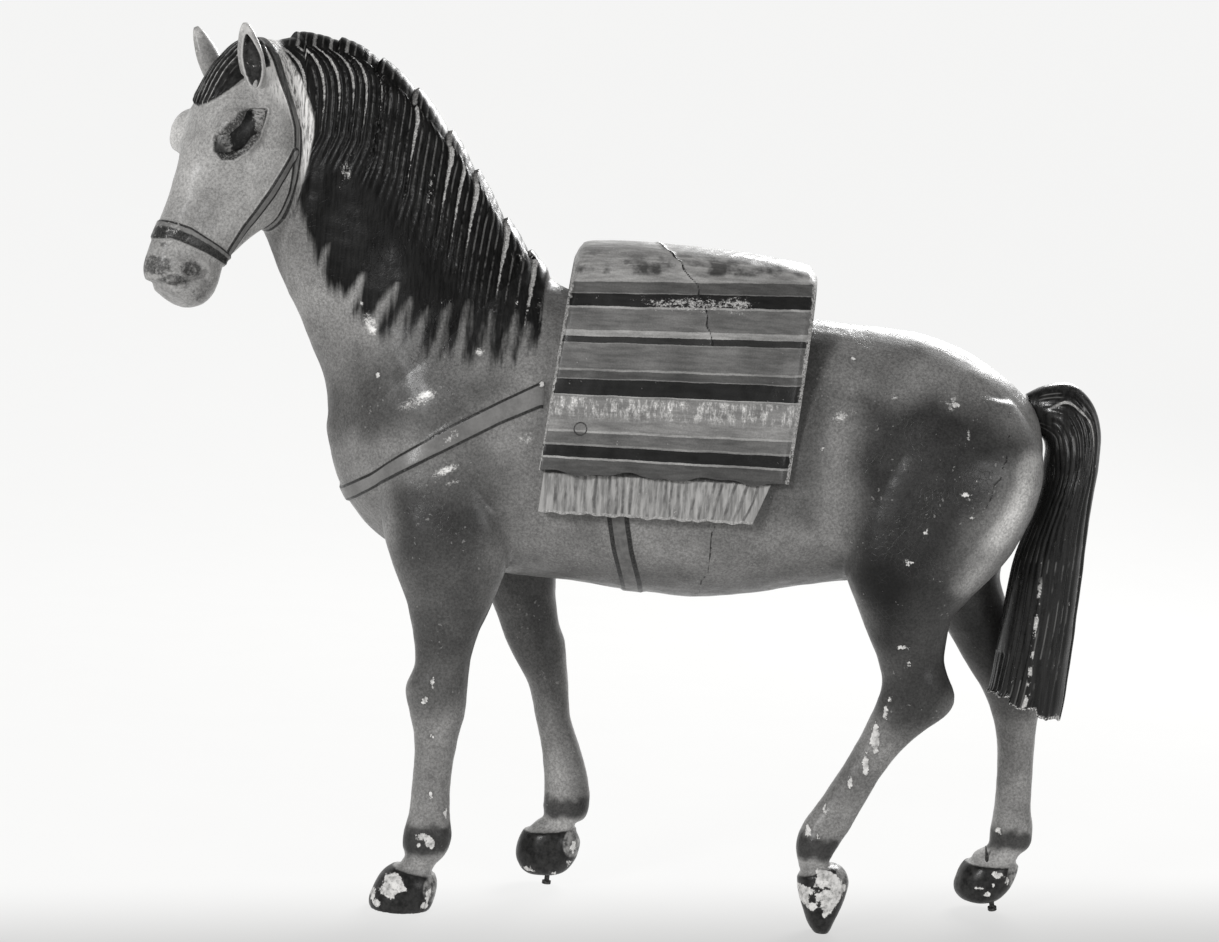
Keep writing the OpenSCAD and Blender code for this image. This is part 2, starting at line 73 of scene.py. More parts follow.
NECK = [
    [-48, 320.5, -145, 223, 39, 0, 0, -.05], [-65, 341, -147, 232, 35, 0, 0, -.06],
    [-83, 367, -147, 243, 31, -.5, 2, -.08], [-101, 390, -150, 258, 27, -1.5, 6, -.10],
    [-120, 408, -157, 275, 23.5, -3, 11, -.12], [-140, 419.5, -165, 293, 20.5, -4.5, 17, -.12],
    [-159, 424, -173, 309, 18.5, -6.5, 23, -.10], [-176, 423, -180, 326, 17, -9, 29, 0],
    [-192, 416, -188, 340, 13, -14, 34, 0]]
HEAD = [
    [-17, 421.5, -4, 421, 8, 0, 0, 0], [-26, 417, 5, 408, 16, 0, 0, .05], [-36, 406, 10, 392, 20.5, 0, 0, .08],
    [-43, 393, 12, 375, 23.5, 0, 0, .10], [-48, 380, 10, 359, 25, 0, 0, .06], [-52, 367, 4, 345, 23.5, 0, 0, 0],
    [-55, 355, -6, 333, 20.5, 0, 0, -.04], [-58.5, 343, -16, 325.5, 17.5, 0, 0, -.04],
    [-62.5, 332, -25, 317.5, 15.5, 0, 0, 0], [-66.5, 322, -31, 311, 14.5, 0, 0, 0],
    [-69.5, 313, -33, 303.5, 14.5, 0, 0, 0], [-70.5, 305.5, -36, 296, 13.5, 0, 0, 0],
    [-66.5, 299, -42, 291, 11, 0, 0, 0], [-59, 295, -49, 289.5, 6, 0, 0, 0]]
SHOULDER_LEFT = [
    [-113, 248, -62, 246, 12, -LEG + 6, 0, 0], [-116, 215, -53, 212, 19, -LEG + 3, 0, 0],
    [-114, 190, -49, 190, 20, -LEG, 0, 0], [-108, 171, -52, 172, 18.5, -LEG, 0, 0],
    [-100, 152, -59, 152, 16, -LEG, 0, 0]]
FORELEG_LEFT = [
    [-100, 152, -59, 152, 16, -LEG, 0, 0], [-96, 135, -65, 137, 13.5, -LEG, 0, 0],
    [-95, 121, -68, 123, 12, -LEG, 0, 0], [-98.5, 109, -68.5, 108, 12, -LEG, 0, 0],
    [-96, 97, -69, 98, 11, -LEG, 0, 0], [-93, 82, -72, 84, 9, -LEG, 0, 0], [-93, 65, -74, 66, 8, -LEG, 0, 0],
    [-94, 48, -74, 49, 8.5, -LEG, 0, 0], [-96, 38, -72.5, 36, 10, -LEG, 0, 0], [-96, 31, -75, 28, 10, -LEG, 0, 0],
    [-94.5, 25.5, -80, 22, 8.5, -LEG, 0, 0], [-99, 22, -80, 17, 10, -LEG, 0, 0],
    [-106, 16, -79, 12, 13, -LEG, 0, 0], [-110.5, 5, -80.5, 4, 14, -LEG, 0, 0], [-110, 0, -82.5, 0, 13.5, -LEG, 0, 0]]
SHOULDER_RIGHT = [
    [-108, 248, -58, 246, 12, LEG - 6, 0, 0], [-106, 215, -46, 212, 19, LEG - 3, 0, 0],
    [-92, 190, -34, 190, 20, LEG, 0, 0], [-78, 171, -30, 172, 18.5, LEG, 0, 0], [-64, 152, -29, 152, 16, LEG, 0, 0]]
FORELEG_RIGHT = [
    [-64, 152, -29, 152, 16, LEG, 0, 0], [-58, 138, -26.5, 137, 13.5, LEG, 0, 0], [-53, 126, -23, 127, 12, LEG, 0, 0],
    [-46, 114, -21.5, 116, 11.5, LEG, 0, 0], [-40, 103, -20, 104, 10.5, LEG, 0, 0], [-36, 88, -18, 88, 9, LEG, 0, 0],
    [-32, 72, -12.5, 73, 8.5, LEG, 0, 0], [-29.5, 56, -7.5, 58, 9, LEG, 0, 0], [-29, 47, -5.5, 46, 10, LEG, 0, 0],
    [-29, 40, -7, 37, 10, LEG, 0, 0], [-28.5, 35.5, -12, 32, 8.5, LEG, 0, 0], [-32, 33, -12, 28, 10, LEG, 0, 0],
    [-38.5, 27, -10, 23, 12.5, LEG, 0, 0], [-41.5, 16, -11.5, 15, 13.5, LEG, 0, 0],
    [-38.5, 9, -15.5, 9, 12, LEG, 0, 0], [-35, 7, -20, 7, 9, LEG, 0, 0]]
HAUNCH_LEFT = [
    [122, 272, 190, 266, 12, -LEG + 8, 0, 0], [112, 243, 205, 244, 22, -LEG + 4, 0, 0],
    [109, 218, 204.5, 220, 25, -LEG + 2, 0, 0], [110, 196, 193.5, 193, 24.5, -LEG + 1, 0, 0],
    [114, 177, 178, 174, 22, -LEG, 0, 0], [121, 160, 166, 160, 18, -LEG, 0, 0]]
HIND_LEG_LEFT = [
    [121, 160, 166, 160, 18, -LEG, 0, 0], [127, 147, 164, 148, 15.5, -LEG, 0, 0],
    [132, 136, 164.5, 135, 13.5, -LEG, 0, 0], [134.5, 125, 170, 121, 12, -LEG, 0, 0],
    [132, 114, 167, 112, 11.5, -LEG, 0, 0], [127, 101, 156, 103, 10.5, -LEG, 0, 0],
    [120.5, 88, 145.5, 92, 9.5, -LEG, 0, 0], [114, 76, 137, 80, 9, -LEG, 0, 0], [107, 64, 130.5, 67, 8.5, -LEG, 0, 0],
    [100.5, 54, 124, 54, 9, -LEG, 0, 0], [97.5, 45, 118.5, 44.5, 10, -LEG, 0, 0], [98, 37.5, 115, 38, 9, -LEG, 0, 0],
    [99.5, 32.5, 115, 34.5, 8.5, -LEG, 0, 0], [99.5, 27, 120.5, 32, 10.5, -LEG, 0, 0],
    [100.5, 20, 123.5, 26, 12, -LEG, 0, 0], [103, 12, 122, 17, 11, -LEG, 0, 0], [106, 4.5, 118.5, 7.5, 8.5, -LEG, 0, 0],
    [109.5, 0, 115, 0, 5, -LEG, 0, 0]]
HAUNCH_RIGHT = [
    [124, 272, 190, 266, 12, LEG - 8, 0, 0], [118, 243, 208, 243, 22, LEG - 4, 0, 0],
    [126, 218, 209, 219, 25, LEG - 2, 0, 0], [136, 196, 203, 195, 24.5, LEG - 1, 0, 0],
    [149, 177, 198, 176, 21.5, LEG, 0, 0], [162, 160, 203, 160, 18, LEG, 0, 0]]
HIND_LEG_RIGHT = [
    [162, 160, 203, 160, 18, LEG, 0, 0], [171, 148, 209, 150, 16, LEG, 0, 0], [179, 136, 217, 139, 14, LEG, 0, 0],
    [187, 124, 225, 126, 12.5, LEG, 0, 0], [195, 112, 226.5, 115, 12, LEG, 0, 0],
    [200.5, 99, 223, 102, 10.5, LEG, 0, 0], [203, 86, 222, 87, 9.5, LEG, 0, 0], [204, 69, 222, 69, 8.5, LEG, 0, 0],
    [204, 55, 222.5, 55, 9, LEG, 0, 0], [203, 45, 224, 44, 10, LEG, 0, 0], [202.5, 38, 223, 35, 10, LEG, 0, 0],
    [202, 33.5, 217.5, 29.5, 8.5, LEG, 0, 0], [196.5, 30, 217.5, 25, 10.5, LEG, 0, 0],
    [189.5, 22, 216.5, 19, 13, LEG, 0, 0], [186.5, 12, 213.5, 12, 13.5, LEG, 0, 0], [189, 7, 209, 7, 11.5, LEG, 0, 0],
    [193, 5, 205, 5, 8.5, LEG, 0, 0]]
HEAD_TURN = math.radians(38)
HEAD_PIVOT = np.array([-176.0, -6.0, 0.0])


# --- Mesh tools -----------------------------------------------------------------------------
def refine(sections, steps):
    """Puts smooth sections between the given ones."""
    s = np.array(sections, float)
    s = np.vstack([s[0], s, s[-1]])
    rows = []
    for i in range(1, len(s) - 2):
        a, b, c, d = s[i - 1:i + 3]
        for k in range(steps):
            t = k / steps
            rows.append(.5 * (2 * b + (c - a) * t + (2 * a - 5 * b + 4 * c - d) * t * t
                              + (3 * b - a - 3 * c + d) * t ** 3))
    return np.array(rows + [s[-2]])


def keep_sign(v, power):
    return np.sign(v) * np.abs(v) ** power


def loft(sections, n=72, steps=8):
    """(points, faces) of a closed skin over the sections."""
    s = refine(sections, steps)
    a = np.linspace(0, 2 * math.pi, n, endpoint=False)
    along, across = keep_sign(np.cos(a), .92), keep_sign(np.sin(a), .92)
    across = across * s[:, 4:5] * (1 + s[:, 7:8] * np.cos(a))
    turn = np.radians(s[:, 6:7])
    x = (s[:, 0:1] + s[:, 2:3]) / 2 + (s[:, 0:1] - s[:, 2:3]) / 2 * along - np.sin(turn) * across
    y = s[:, 5:6] + np.cos(turn) * across
    z = (s[:, 1:2] + s[:, 3:4]) / 2 + (s[:, 1:2] - s[:, 3:4]) / 2 * along
    points = np.stack([x, y, z], 2).reshape(-1, 3)
    return points, ring_faces(len(s), n)


def ring_faces(rows, n):
    """Walls between rings of n points and the two ends."""
    faces = [(i * n + j, i * n + (j + 1) % n, (i + 1) * n + (j + 1) % n, (i + 1) * n + j)
             for i in range(rows - 1) for j in range(n)]
    last = (rows - 1) * n
    return faces + [tuple(range(n - 1, -1, -1)), tuple(range(last, last + n))]


def from_head(p):
    """Points of the head's own frame in the row frame."""
    c, s = math.cos(HEAD_TURN), math.sin(HEAD_TURN)
    return np.stack([p[:, 0] * c - p[:, 1] * s, p[:, 0] * s + p[:, 1] * c, p[:, 2]], 1) + HEAD_PIVOT


def to_head(p):
    """Points of the row frame in the head's own frame."""
    c, s = math.cos(HEAD_TURN), math.sin(HEAD_TURN)
    q = p - HEAD_PIVOT
    return np.stack([q[:, 0] * c + q[:, 1] * s, -q[:, 0] * s + q[:, 1] * c, q[:, 2]], 1)


def ball(centre, radii, n=32):
    """(points, faces) of an ellipsoid."""
    lat = np.linspace(-.5 * math.pi, .5 * math.pi, n + 1)[1:-1]
    lon = np.linspace(0, 2 * math.pi, 2 * n, endpoint=False)
    x, y = np.outer(np.cos(lat), np.cos(lon)), np.outer(np.cos(lat), np.sin(lon))
    z = np.outer(np.sin(lat), np.ones(2 * n))
    points = np.stack([x, y, z], 2).reshape(-1, 3) * radii + centre
    return points, ring_faces(n - 1, 2 * n)


def new_object(name, points, faces):
    mesh = bpy.data.meshes.new(name)
    mesh.from_pydata((np.asarray(points) * MM).tolist(), [], [tuple(map(int, f)) for f in faces])
    mesh.update()
    obj = bpy.data.objects.new(name, mesh)
    bpy.context.collection.objects.link(obj)
    return obj


def merged(parts):
    points, faces, start = [], [], 0
    for p, f in parts:
        points.append(p)
        faces += [tuple(i + start for i in face) for face in f]
        start += len(p)
    return np.vstack(points), faces


def voxel_union(name, parts, size):
    """One skin round all the parts, on a grid of the given size in millimetres."""
    obj = new_object(name, *merged(parts))
    mod = obj.modifiers.new("union", "REMESH")
    mod.mode, mod.voxel_size = "VOXEL", size * MM
    baked = bpy.data.meshes.new_from_object(obj.evaluated_get(bpy.context.evaluated_depsgraph_get()))
    obj.modifiers.clear()
    obj.data = baked
    return obj


def get_points(mesh):
    co = np.empty(len(mesh.vertices) * 3)
    mesh.vertices.foreach_get("co", co)
    return co.reshape(-1, 3) / MM


def set_points(mesh, co):
    mesh.vertices.foreach_set("co", (co * MM).ravel())
    mesh.update()


def get_edges(mesh):
    e = np.empty(len(mesh.edges) * 2, int)
    mesh.edges.foreach_get("vertices", e)
    return e.reshape(-1, 2)


def smooth(co, edges, passes, strength=1.0, shrink_back=-.53):
    """Evens the surface out without shrinking it. strength is one number, or one for each point."""
    a, b = edges.T
    count = len(co)
    degree = np.bincount(a, minlength=count) + np.bincount(b, minlength=count)
    strength = np.broadcast_to(strength, count)[:, None]
    for _ in range(passes):
        for factor in (.5, shrink_back):
            total = np.stack([np.bincount(a, co[b, k], count) + np.bincount(b, co[a, k], count)
                              for k in range(3)], 1)
            co = co + strength * factor * (total / degree[:, None] - co)
    return co



def step(low, high, v):
    """0 below low, 1 above high, smooth between."""
    t = np.clip((v - low) / (high - low), 0, 1)
    return t * t * (3 - 2 * t)


def mound(d, radius):
    """1 at distance 0, falling smoothly to 0 at the radius."""
    return np.clip(1 - (d / radius) ** 2, 0, None) ** 2


def path_distance(x, z, path):
    """Distance of points from a line through the path's points."""
    best = np.full(len(x), 1e9)
    for (ax, az), (bx, bz) in zip(path[:-1], path[1:]):
        dx, dz = bx - ax, bz - az
        t = np.clip(((x - ax) * dx + (z - az) * dz) / (dx * dx + dz * dz), 0, 1)
        best = np.minimum(best, np.hypot(x - ax - t * dx, z - az - t * dz))
    return best


def inside(x, z, outline):
    """Distance from a closed outline, above 0 inside it and below 0 outside."""
    ring = list(outline) + [outline[0]]
    odd = np.zeros(len(x), bool)
    for (ax, az), (bx, bz) in zip(ring[:-1], ring[1:]):
        crosses = (az > z) != (bz > z)
        at = ax + (z - az) * (bx - ax) / (bz - az if bz != az else 1e-9)
        odd ^= crosses & (x < at)
    return np.where(odd, 1, -1) * path_distance(x, z, ring)


def curve(v, points):
    """Reads a value off a line through (key, value) points, in any order."""
    keys, values = np.array(sorted(points)).T
    return np.interp(v, keys, values)


def ripple(p, size, seed):
    """Soft uneven waves of about the given size, between -1 and 1."""
    rng = np.random.default_rng(seed)
    total = np.zeros(len(p))
    for _ in range(7):
        way = rng.normal(size=3)
        way *= rng.uniform(.7, 1.4) * 2 * math.pi / size / np.linalg.norm(way)
        total += np.sin(p @ way + rng.uniform(0, 6.3))
    return total / 3.5


def normals_of(mesh):
    n = np.empty(len(mesh.vertices) * 3)
    mesh.vertex_normals.foreach_get("vector", n)
    return n.reshape(-1, 3)


def write_field(mesh, name, values):
    kind = "FLOAT" if np.ndim(values) == 1 else "FLOAT_VECTOR"
    layer = mesh.attributes.get(name) or mesh.attributes.new(name, kind, "POINT")
    layer.data.foreach_set("value" if kind == "FLOAT" else "vector", np.asarray(values, float).ravel())


def read_vectors(mesh, name):
    v = np.empty(len(mesh.vertices) * 3)
    mesh.attributes[name].data.foreach_get("vector", v)
    return v.reshape(-1, 3)


def shade_smooth(mesh, degrees=42):
    mesh.shade_smooth()
    mesh.set_sharp_from_angle(angle=math.radians(degrees))


# --- The figure's skin ----------------------------------------------------------------------
def figure_skin():
    brows = [ball((-33, -15.5, 375), (12, 12, 12)), ball((-38, 18, 373), (11, 12, 12.5))]
    parts = [loft(s) for s in (TRUNK, NECK, SHOULDER_LEFT, FORELEG_LEFT, SHOULDER_RIGHT, FORELEG_RIGHT,
                               HAUNCH_LEFT, HIND_LEG_LEFT, HAUNCH_RIGHT, HIND_LEG_RIGHT)]
    parts += [(from_head(p), f) for p, f in [loft(HEAD)] + brows]
    skin = voxel_union("skin", parts, SKIN_GRID)
    set_points(skin.data, smooth(get_points(skin.data), get_edges(skin.data), 40))
    return skin


def flesh(p):
    """How far the carved muscles stand out from the plain masses."""
    x, y, z = p.T
    side = step(8, 26, np.abs(y))

    def swell(cx, cz, rx, rz, height):
        return height * mound(np.hypot((x - cx) / rx, (z - cz) / rz), 1) * side

    out = swell(-93, 242, 46, 50, 2.4) + swell(158, 228, 50, 46, 2.4) + swell(122, 192, 24, 28, 1.8)
    out -= swell(-42, 205, 20, 46, 2.2) + swell(104, 212, 22, 42, 2.6) + swell(-142, 236, 20, 34, 1.6)
    out += 1.2 * mound(np.hypot((x + 90) / 26, (z - 178) / 26), 1) * side
    out -= 1.0 * mound(path_distance(x, z, [(201, 236), (187, 207), (172, 180)]), 7) * step(120, 150, x)
    return out + .22 * ripple(p, 26, 3) + .10 * ripple(p, 9, 4)


skin = figure_skin()
co = get_points(skin.data)
co += normals_of(skin.data) * flesh(co)[:, None]
co = smooth(co, get_edges(skin.data), 4)
set_points(skin.data, co)
write_field(skin.data, "out", normals_of(skin.data))


# --- Cutting the skin at the glued joints ---------------------------------------------------
NECK_CUT = [(-48, 320.5), (-145, 223)]
HEAD_CUT = [(3, 421), (-1.5, 324)]          # x and z in the head's own frame
LEG_SIDE_X = 40
HIND_SIDE_X = 88


def beyond_head_cut(p):
    h = to_head(p)
    (ax, az), (bx, bz) = HEAD_CUT
    return (h[:, 0] < bx + (h[:, 2] - bz) * (ax - bx) / (az - bz)) & (p[:, 2] > 284)


def beyond_neck_cut(p):
    (ax, az), (bx, bz) = NECK_CUT
    return ((p[:, 2] - az) * (ax - bx) > (p[:, 0] - ax) * (az - bz)) & (p[:, 0] < ax + 1) & (p[:, 2] > 215)


def piece_number(p):
    """0 trunk, 1 neck, 2 head, 3 and 4 left and right foreleg, 5 and 6 left and right hind leg."""
    x, y, z = p.T
    number = np.zeros(len(p), int)
    number[beyond_neck_cut(p)] = 1
    number[beyond_head_cut(p)] = 2
    fore = (z < FORE_JOINT_Z) & (x < LEG_SIDE_X)
    hind = (z < HIND_JOINT_Z) & (x > HIND_SIDE_X)
    number[fore] = np.where(y[fore] < 0, 3, 4)
    number[hind] = np.where(y[hind] < 0, 5, 6)
    return number


def cut_skin(mesh):
    """Adds edges along every joint plane."""
    bm = bmesh.new()
    bm.from_mesh(mesh)
    turn = Matrix.Rotation(HEAD_TURN, 3, "Z")
    (ax, az), (bx, bz) = HEAD_CUT
    head_at = turn @ Vector((ax, 0, az)) + Vector(HEAD_PIVOT)
    head_way = turn @ Vector((az - bz, 0, bx - ax))
    (nx, nz), (mx, mz) = NECK_CUT
    planes = [(Vector((0, 0, FORE_JOINT_Z)), Vector((0, 0, 1)), lambda c: c.x < LEG_SIDE_X),
              (Vector((0, 0, HIND_JOINT_Z)), Vector((0, 0, 1)), lambda c: c.x > HIND_SIDE_X),
              (Vector((nx, 0, nz)), Vector((nz - mz, 0, mx - nx)), lambda c: c.x < nx + 1 and c.z > 215),
              (head_at, head_way, lambda c: c.z > 284)]
    for at, way, allowed in planes:
        way = way.normalized()
        faces = []
        for f in bm.faces:
            c = f.verts[0].co / MM
            if abs((c - at).dot(way)) < 5 and allowed(c):
                faces.append(f)
        near = list({v for f in faces for v in f.verts}) + list({e for f in faces for e in f.edges}) + faces
        bmesh.ops.bisect_plane(bm, geom=near, dist=1e-8, plane_co=at * MM, plane_no=way)
    bm.to_mesh(mesh)
    bm.free()


def rims(faces):
    """Closed loops of the edges that only one of the faces has."""
    following = {}
    seen = set()
    for f in faces:
        for a, b in zip(f, f[1:] + f[:1]):
            seen.add((a, b))
    for a, b in seen:
        if (b, a) not in seen:
            following[b] = a
    loops = []
    while following:
        start, at = following.popitem()
        loop = [start]
        while at != start:
            loop.append(at)
            at = following.pop(at)
        loops.append(loop)
    return loops


def take_pieces(mesh, names):
    """One closed object for each piece of the cut skin."""
    co, out = get_points(mesh), read_vectors(mesh, "out")
    faces = [tuple(p.vertices) for p in mesh.polygons]
    centres = np.array([co[list(f)].mean(0) for f in faces])
    number = piece_number(centres)
    pieces = {}
    for k, name in enumerate(names):
        mine = [faces[i] for i in np.flatnonzero(number == k)]
        loops = rims(mine)
        mine += [tuple(loop) for loop in loops]
        used = np.unique(np.concatenate([np.array(f) for f in mine]))
        index = {int(v): i for i, v in enumerate(used)}
        obj = new_object(name, co[used], [tuple(index[v] for v in f) for f in mine])
        write_field(obj.data, "out", out[used])
        pieces[name] = obj
    return pieces


def finer(obj):
    """Halves the grid."""
    mod = obj.modifiers.new("finer", "SUBSURF")
    mod.subdivision_type, mod.levels = "SIMPLE", 1
    baked = bpy.data.meshes.new_from_object(obj.evaluated_get(bpy.context.evaluated_depsgraph_get()))
    obj.modifiers.clear()
    obj.data = baked


SKIN_PIECES = ["trunk", "neck", "head", "foreleg_left", "foreleg_right", "hind_leg_left", "hind_leg_right"]
cut_skin(skin.data)
figure = take_pieces(skin.data, SKIN_PIECES)
bpy.data.objects.remove(skin)
finer(figure["neck"])
finer(figure["head"])


# --- Where the carving and the paint lie ----------------------------------------------------
# Lines on the figure's side are (x, z) points; those of the head are in the head's own frame.
CREST = [(-203, 419), (-173, 419), (-153, 418), (-137, 413), (-117, 399), (-90, 371), (-68, 341), (-50, 321)]
MANE_FRONT = [(421, -178), (412, -171), (404, -166), (392, -160.5), (383, -158), (376, -158), (362, -160),
              (349, -163), (330, -169)]
MANE_FOOT = [(-175, 340), (-163, 339), (-158, 324), (-153, 314), (-144, 298), (-131, 288), (-110, 277), (-90, 273),
             (-71, 270), (-56, 271), (-44, 278), (-41, 286)]
MANE_REAR = -42
# Pale wedges that run up into the mane's smoky foot: apex x, z, then x, z and half width at the open end
MANE_GAPS = [(-148, 322, -156, 300, 4), (-130, 309, -140, 288, 4.2), (-114, 305, -125, 285, 4.5),
             (-107, 298, -114, 275, 4), (-98, 294, -105, 272, 4), (-88, 295, -94, 270, 3.5),
             (-78, 297, -82, 268, 2.2), (-67, 293, -70, 268, 3), (-55, 294, -58, 270, 2.6), (-49, 290, -51, 272, 2)]
CREST_START = -30          # the crest's lengths are counted from just behind the bridle
LOCKS = [-21, -17, -13, -9, -5, 0, 4, 8, 12, 16, 20, 24, 28, 32, 36, 40, 44, 48, 54, 59, 64, 69, 73, 78, 83, 88, 94, 98, 104, 110, 116, 121, 126,
         131, 136, 142, 148, 155, 161, 166]
MAJOR_LOCKS = [-9, -5, 4, 12, 20, 28, 40, 69, 94, 104, 116, 142, 161]
CREST_LUMPS = [-8, 24, 46, 69, 94, 116, 142, 161, 176]      # where a thick lock starts proud of the crest line
BREAST_UPPER = [(-137, 205), (-121, 214), (-107, 224), (-83, 240), (-60, 253), (-41, 263)]
BREAST_LOWER = [(-137, 196), (-128, 201), (-106, 215), (-82, 229), (-59, 242), (-40, 251)]
GIRTH = [(200, .5), (185, 3.5), (168, 8.5), (150, 12)]          # z, x
GIRTH_HALF = 5.2
STRAP_FRONT = [(424, -21), (414, -18), (406, -16), (399, -14), (393, -11.5), (385, -8.5), (379, -6.5), (373, -6),
               (366, -6), (359, -6.5), (352, -7), (342, -8), (335, -9), (324, -13)]
STRAP_WIDE = 5.0
CHEEK_STRAP = [(-5, 367), (-14, 353.5), (-21, 341), (-27, 329), (-33, 316)]
NOSE_UPPER = [(-64, 331), (-55, 328), (-48, 324), (-38, 319), (-30, 315)]
NOSE_LOWER = [(-68, 321), (-63, 322), (-55, 319), (-47, 316), (-36, 311.5), (-30, 309)]
FORELOCK_FOOT = [(0, 386), (7, 387.5), (12, 391), (15, 396), (17, 402), (20, 412), (24, 424)]   # |y|, z
EYE_OUTLINE = [(-45, 365), (-44.5, 371), (-42, 377), (-37, 382.5), (-30, 385.5), (-23, 386), (-25, 380),
               (-28, 373), (-33, 366), (-38, 362), (-42.5, 361.5)]
# Dark patches, sprayed dapples except the one behind the saddle block, which is its painted shadow: outline, share of
# the light left, softness, side (-1 near, 1 far)
DARK_PATCHES = [
    ([(118, 262), (148, 270), (176, 262), (193, 246), (184, 232), (174, 212), (164, 192), (150, 168), (134, 150),
      (114, 168), (110, 200), (112, 235)], .16, 13, -1),
    ([(122, 190), (176, 190), (168, 160), (172, 130), (166, 104), (148, 98), (128, 120)], .28, 12, -1),
    ([(-100, 218), (-70, 226), (-56, 214), (-58, 186), (-104, 180), (-108, 200)], .45, 13, -1),
    ([(-101, 206), (-60, 206), (-58, 150), (-64, 104), (-100, 100), (-106, 160)], .42, 13, -1),
    ([(-118, 238), (-96, 232), (-70, 244), (-60, 262), (-92, 262), (-120, 252)], .62, 10, -1),
    ([(-150, 262), (-128, 270), (-96, 276), (-84, 262), (-104, 238), (-120, 232), (-142, 224)], .62, 12, -1),
    # painted shadow that the saddle block casts on the barrel behind it
    ([(78, 300), (98, 292), (98, 240), (90, 206), (64, 198), (66, 262)], .40, 9, -1),
    ([(126, 262), (160, 266), (186, 240), (214, 190), (232, 120), (196, 104), (150, 170)], .38, 16, 1),
    ([(-75, 214), (-36, 214), (-12, 130), (-30, 84), (-58, 110), (-82, 180)], .62, 14, 1)]
# Pale marks on the near side, some real scuffs in the varnish and some painted highlights standing in for lamp glints
# on the shoulder, chest, neck and flank: x, z, half length, half width, slope in degrees, strength
SCUFFS_AND_PAINTED_HIGHLIGHTS = [
    (-101, 250, 17, 6, 26, .62), (-95, 254, 8, 4.2, 24, 1), (-84, 218.5, 12, 3.4, 24, .95), (-80, 213, 10, 3.2, 20, .5),
    (-125, 286, 11, 5.5, -66, .8), (-124, 284, 5, 4, -60, 1), (-130, 296, 3, 1.6, -66, .8), (-82, 234.5, 10, 4, 42, .58),
    (-71, 276, 4, 3.4, 0, .9), (104, 255, 7, 6, 0, .66), (158, 264, 8, 5.5, 60, .56), (130, 266, 3.4, 3.4, 0, .55),
    (166, 250, 6, 1.6, -80, .8), (168.5, 220.3, 5, 1, 0, .9), (-46, 236, 8, 5.5, 20, .56), (140, 188, 3.6, 3.4, 0, .62),
    (-44, 300, 3, 8, 0, .4)]
# Each leg: fetlock band x, z, slope and half height, then hoof edge x, z and slope
LEG_MARKS = {
    "foreleg_left": (-85, 35.5, .10, 6.5, -90, 19, -.2), "foreleg_right": (-17, 42, .05, 5, -26, 29, .1),
    "hind_leg_left": (106, 43, -.1, 5.5, 107, 30.5, .35), "hind_leg_right": (212, 38.5, -.05, 5, 203, 24.5, 0)}
# Spots where the paint is gone: side (-1 near, 1 far), x, z, half sizes along x and z
CHIPS = [
    (-1, -85, 115, .9, 2.4), (-1, -88, 106, 1.4, 2.2), (-1, -84, 88, .9, 1.3), (-1, -83, 58, 1, 2), (-1, -76, 49, .7, 2),
    (-1, -86, 38, 3.6, 2), (-1, -82, 35, 2.5, 2.6), (-1, -88, 34, 1.2, 1.5), (-1, -82, 9, 1.5, 2.6), (-1, -84, 4, 1.6, 1.8),
    (-1, -106, 4, 2.5, 1.6), (-1, -109, 8, 1.5, 3),
    (-1, 136, 112, 1, 3), (-1, 132, 98, 2, 7), (-1, 128, 86, 1.5, 5), (-1, 121, 77, 1.2, 3), (-1, 141, 145.5, 3, .9),
    (-1, 145, 138, .8, 1.5), (-1, 138, 119, .8, 1.5), (-1, 102, 51, 1.2, 2.5), (-1, 107, 49, .9, 2), (-1, 110, 62, 1, 2.4),
    (-1, 160, 264, 2.2, 1.4), (-1, 166, 222, 2.4, .8), (-1, 169, 211, 1.4, .8), (-1, 162, 245, .9, .9),
    (-1, 170, 229, .8, 1.2), (-1, 148, 203, 1, 1.6), (-1, 141, 187, 1.8, 1), (-1, -40, 262, 1.2, 1.5),
    (-1, -55, 300, .8, 1.4), (-1, 96, 240, .8, 1.6), (-1, 110, 283, 1.1, .8), (-1, -120, 262, .9, 1.1),
    (1, 206, 21, 2.4, 1.6), (1, 211, 18, 1.1, 2), (1, 204, 16, 1, 1.3), (1, 201, 11, 1.3, 1.6), (1, 197, 14, 1.6, 1),
    (1, -35, 10, 2.4, 1.2), (1, -13, 22, 1.2, 2.6), (1, -15, 14, .9, 1.6), (1, -22, 9, 1.6, .8), (1, 206, 43, 1, 2)]
FORE_HOOF_LOSS = [(-103, 17), (-98, 19), (-95, 17.5), (-93, 13), (-91, 11.5), (-96, 11), (-98, 7.5), (-103, 8.5),
                  (-106, 10), (-103, 13.5)]
HIND_HOOF_LOSS = [(107, 34), (113, 33), (118, 29), (122, 25), (119, 19), (115, 12), (112, 9), (110, 18), (107, 12),
                  (100, 17), (99, 25), (106, 24), (108, 29)]
HIND_HOOF_KEPT = [(106.5, 19, 1.6, 2.8), (111.5, 24.5, 2, .6), (108.6, 23, 1, 1)]
BODY_CRACKS = [[(46, 200), (46, 182), (41, 163)], [(188, 262), (184, 238), (176, 214)]]


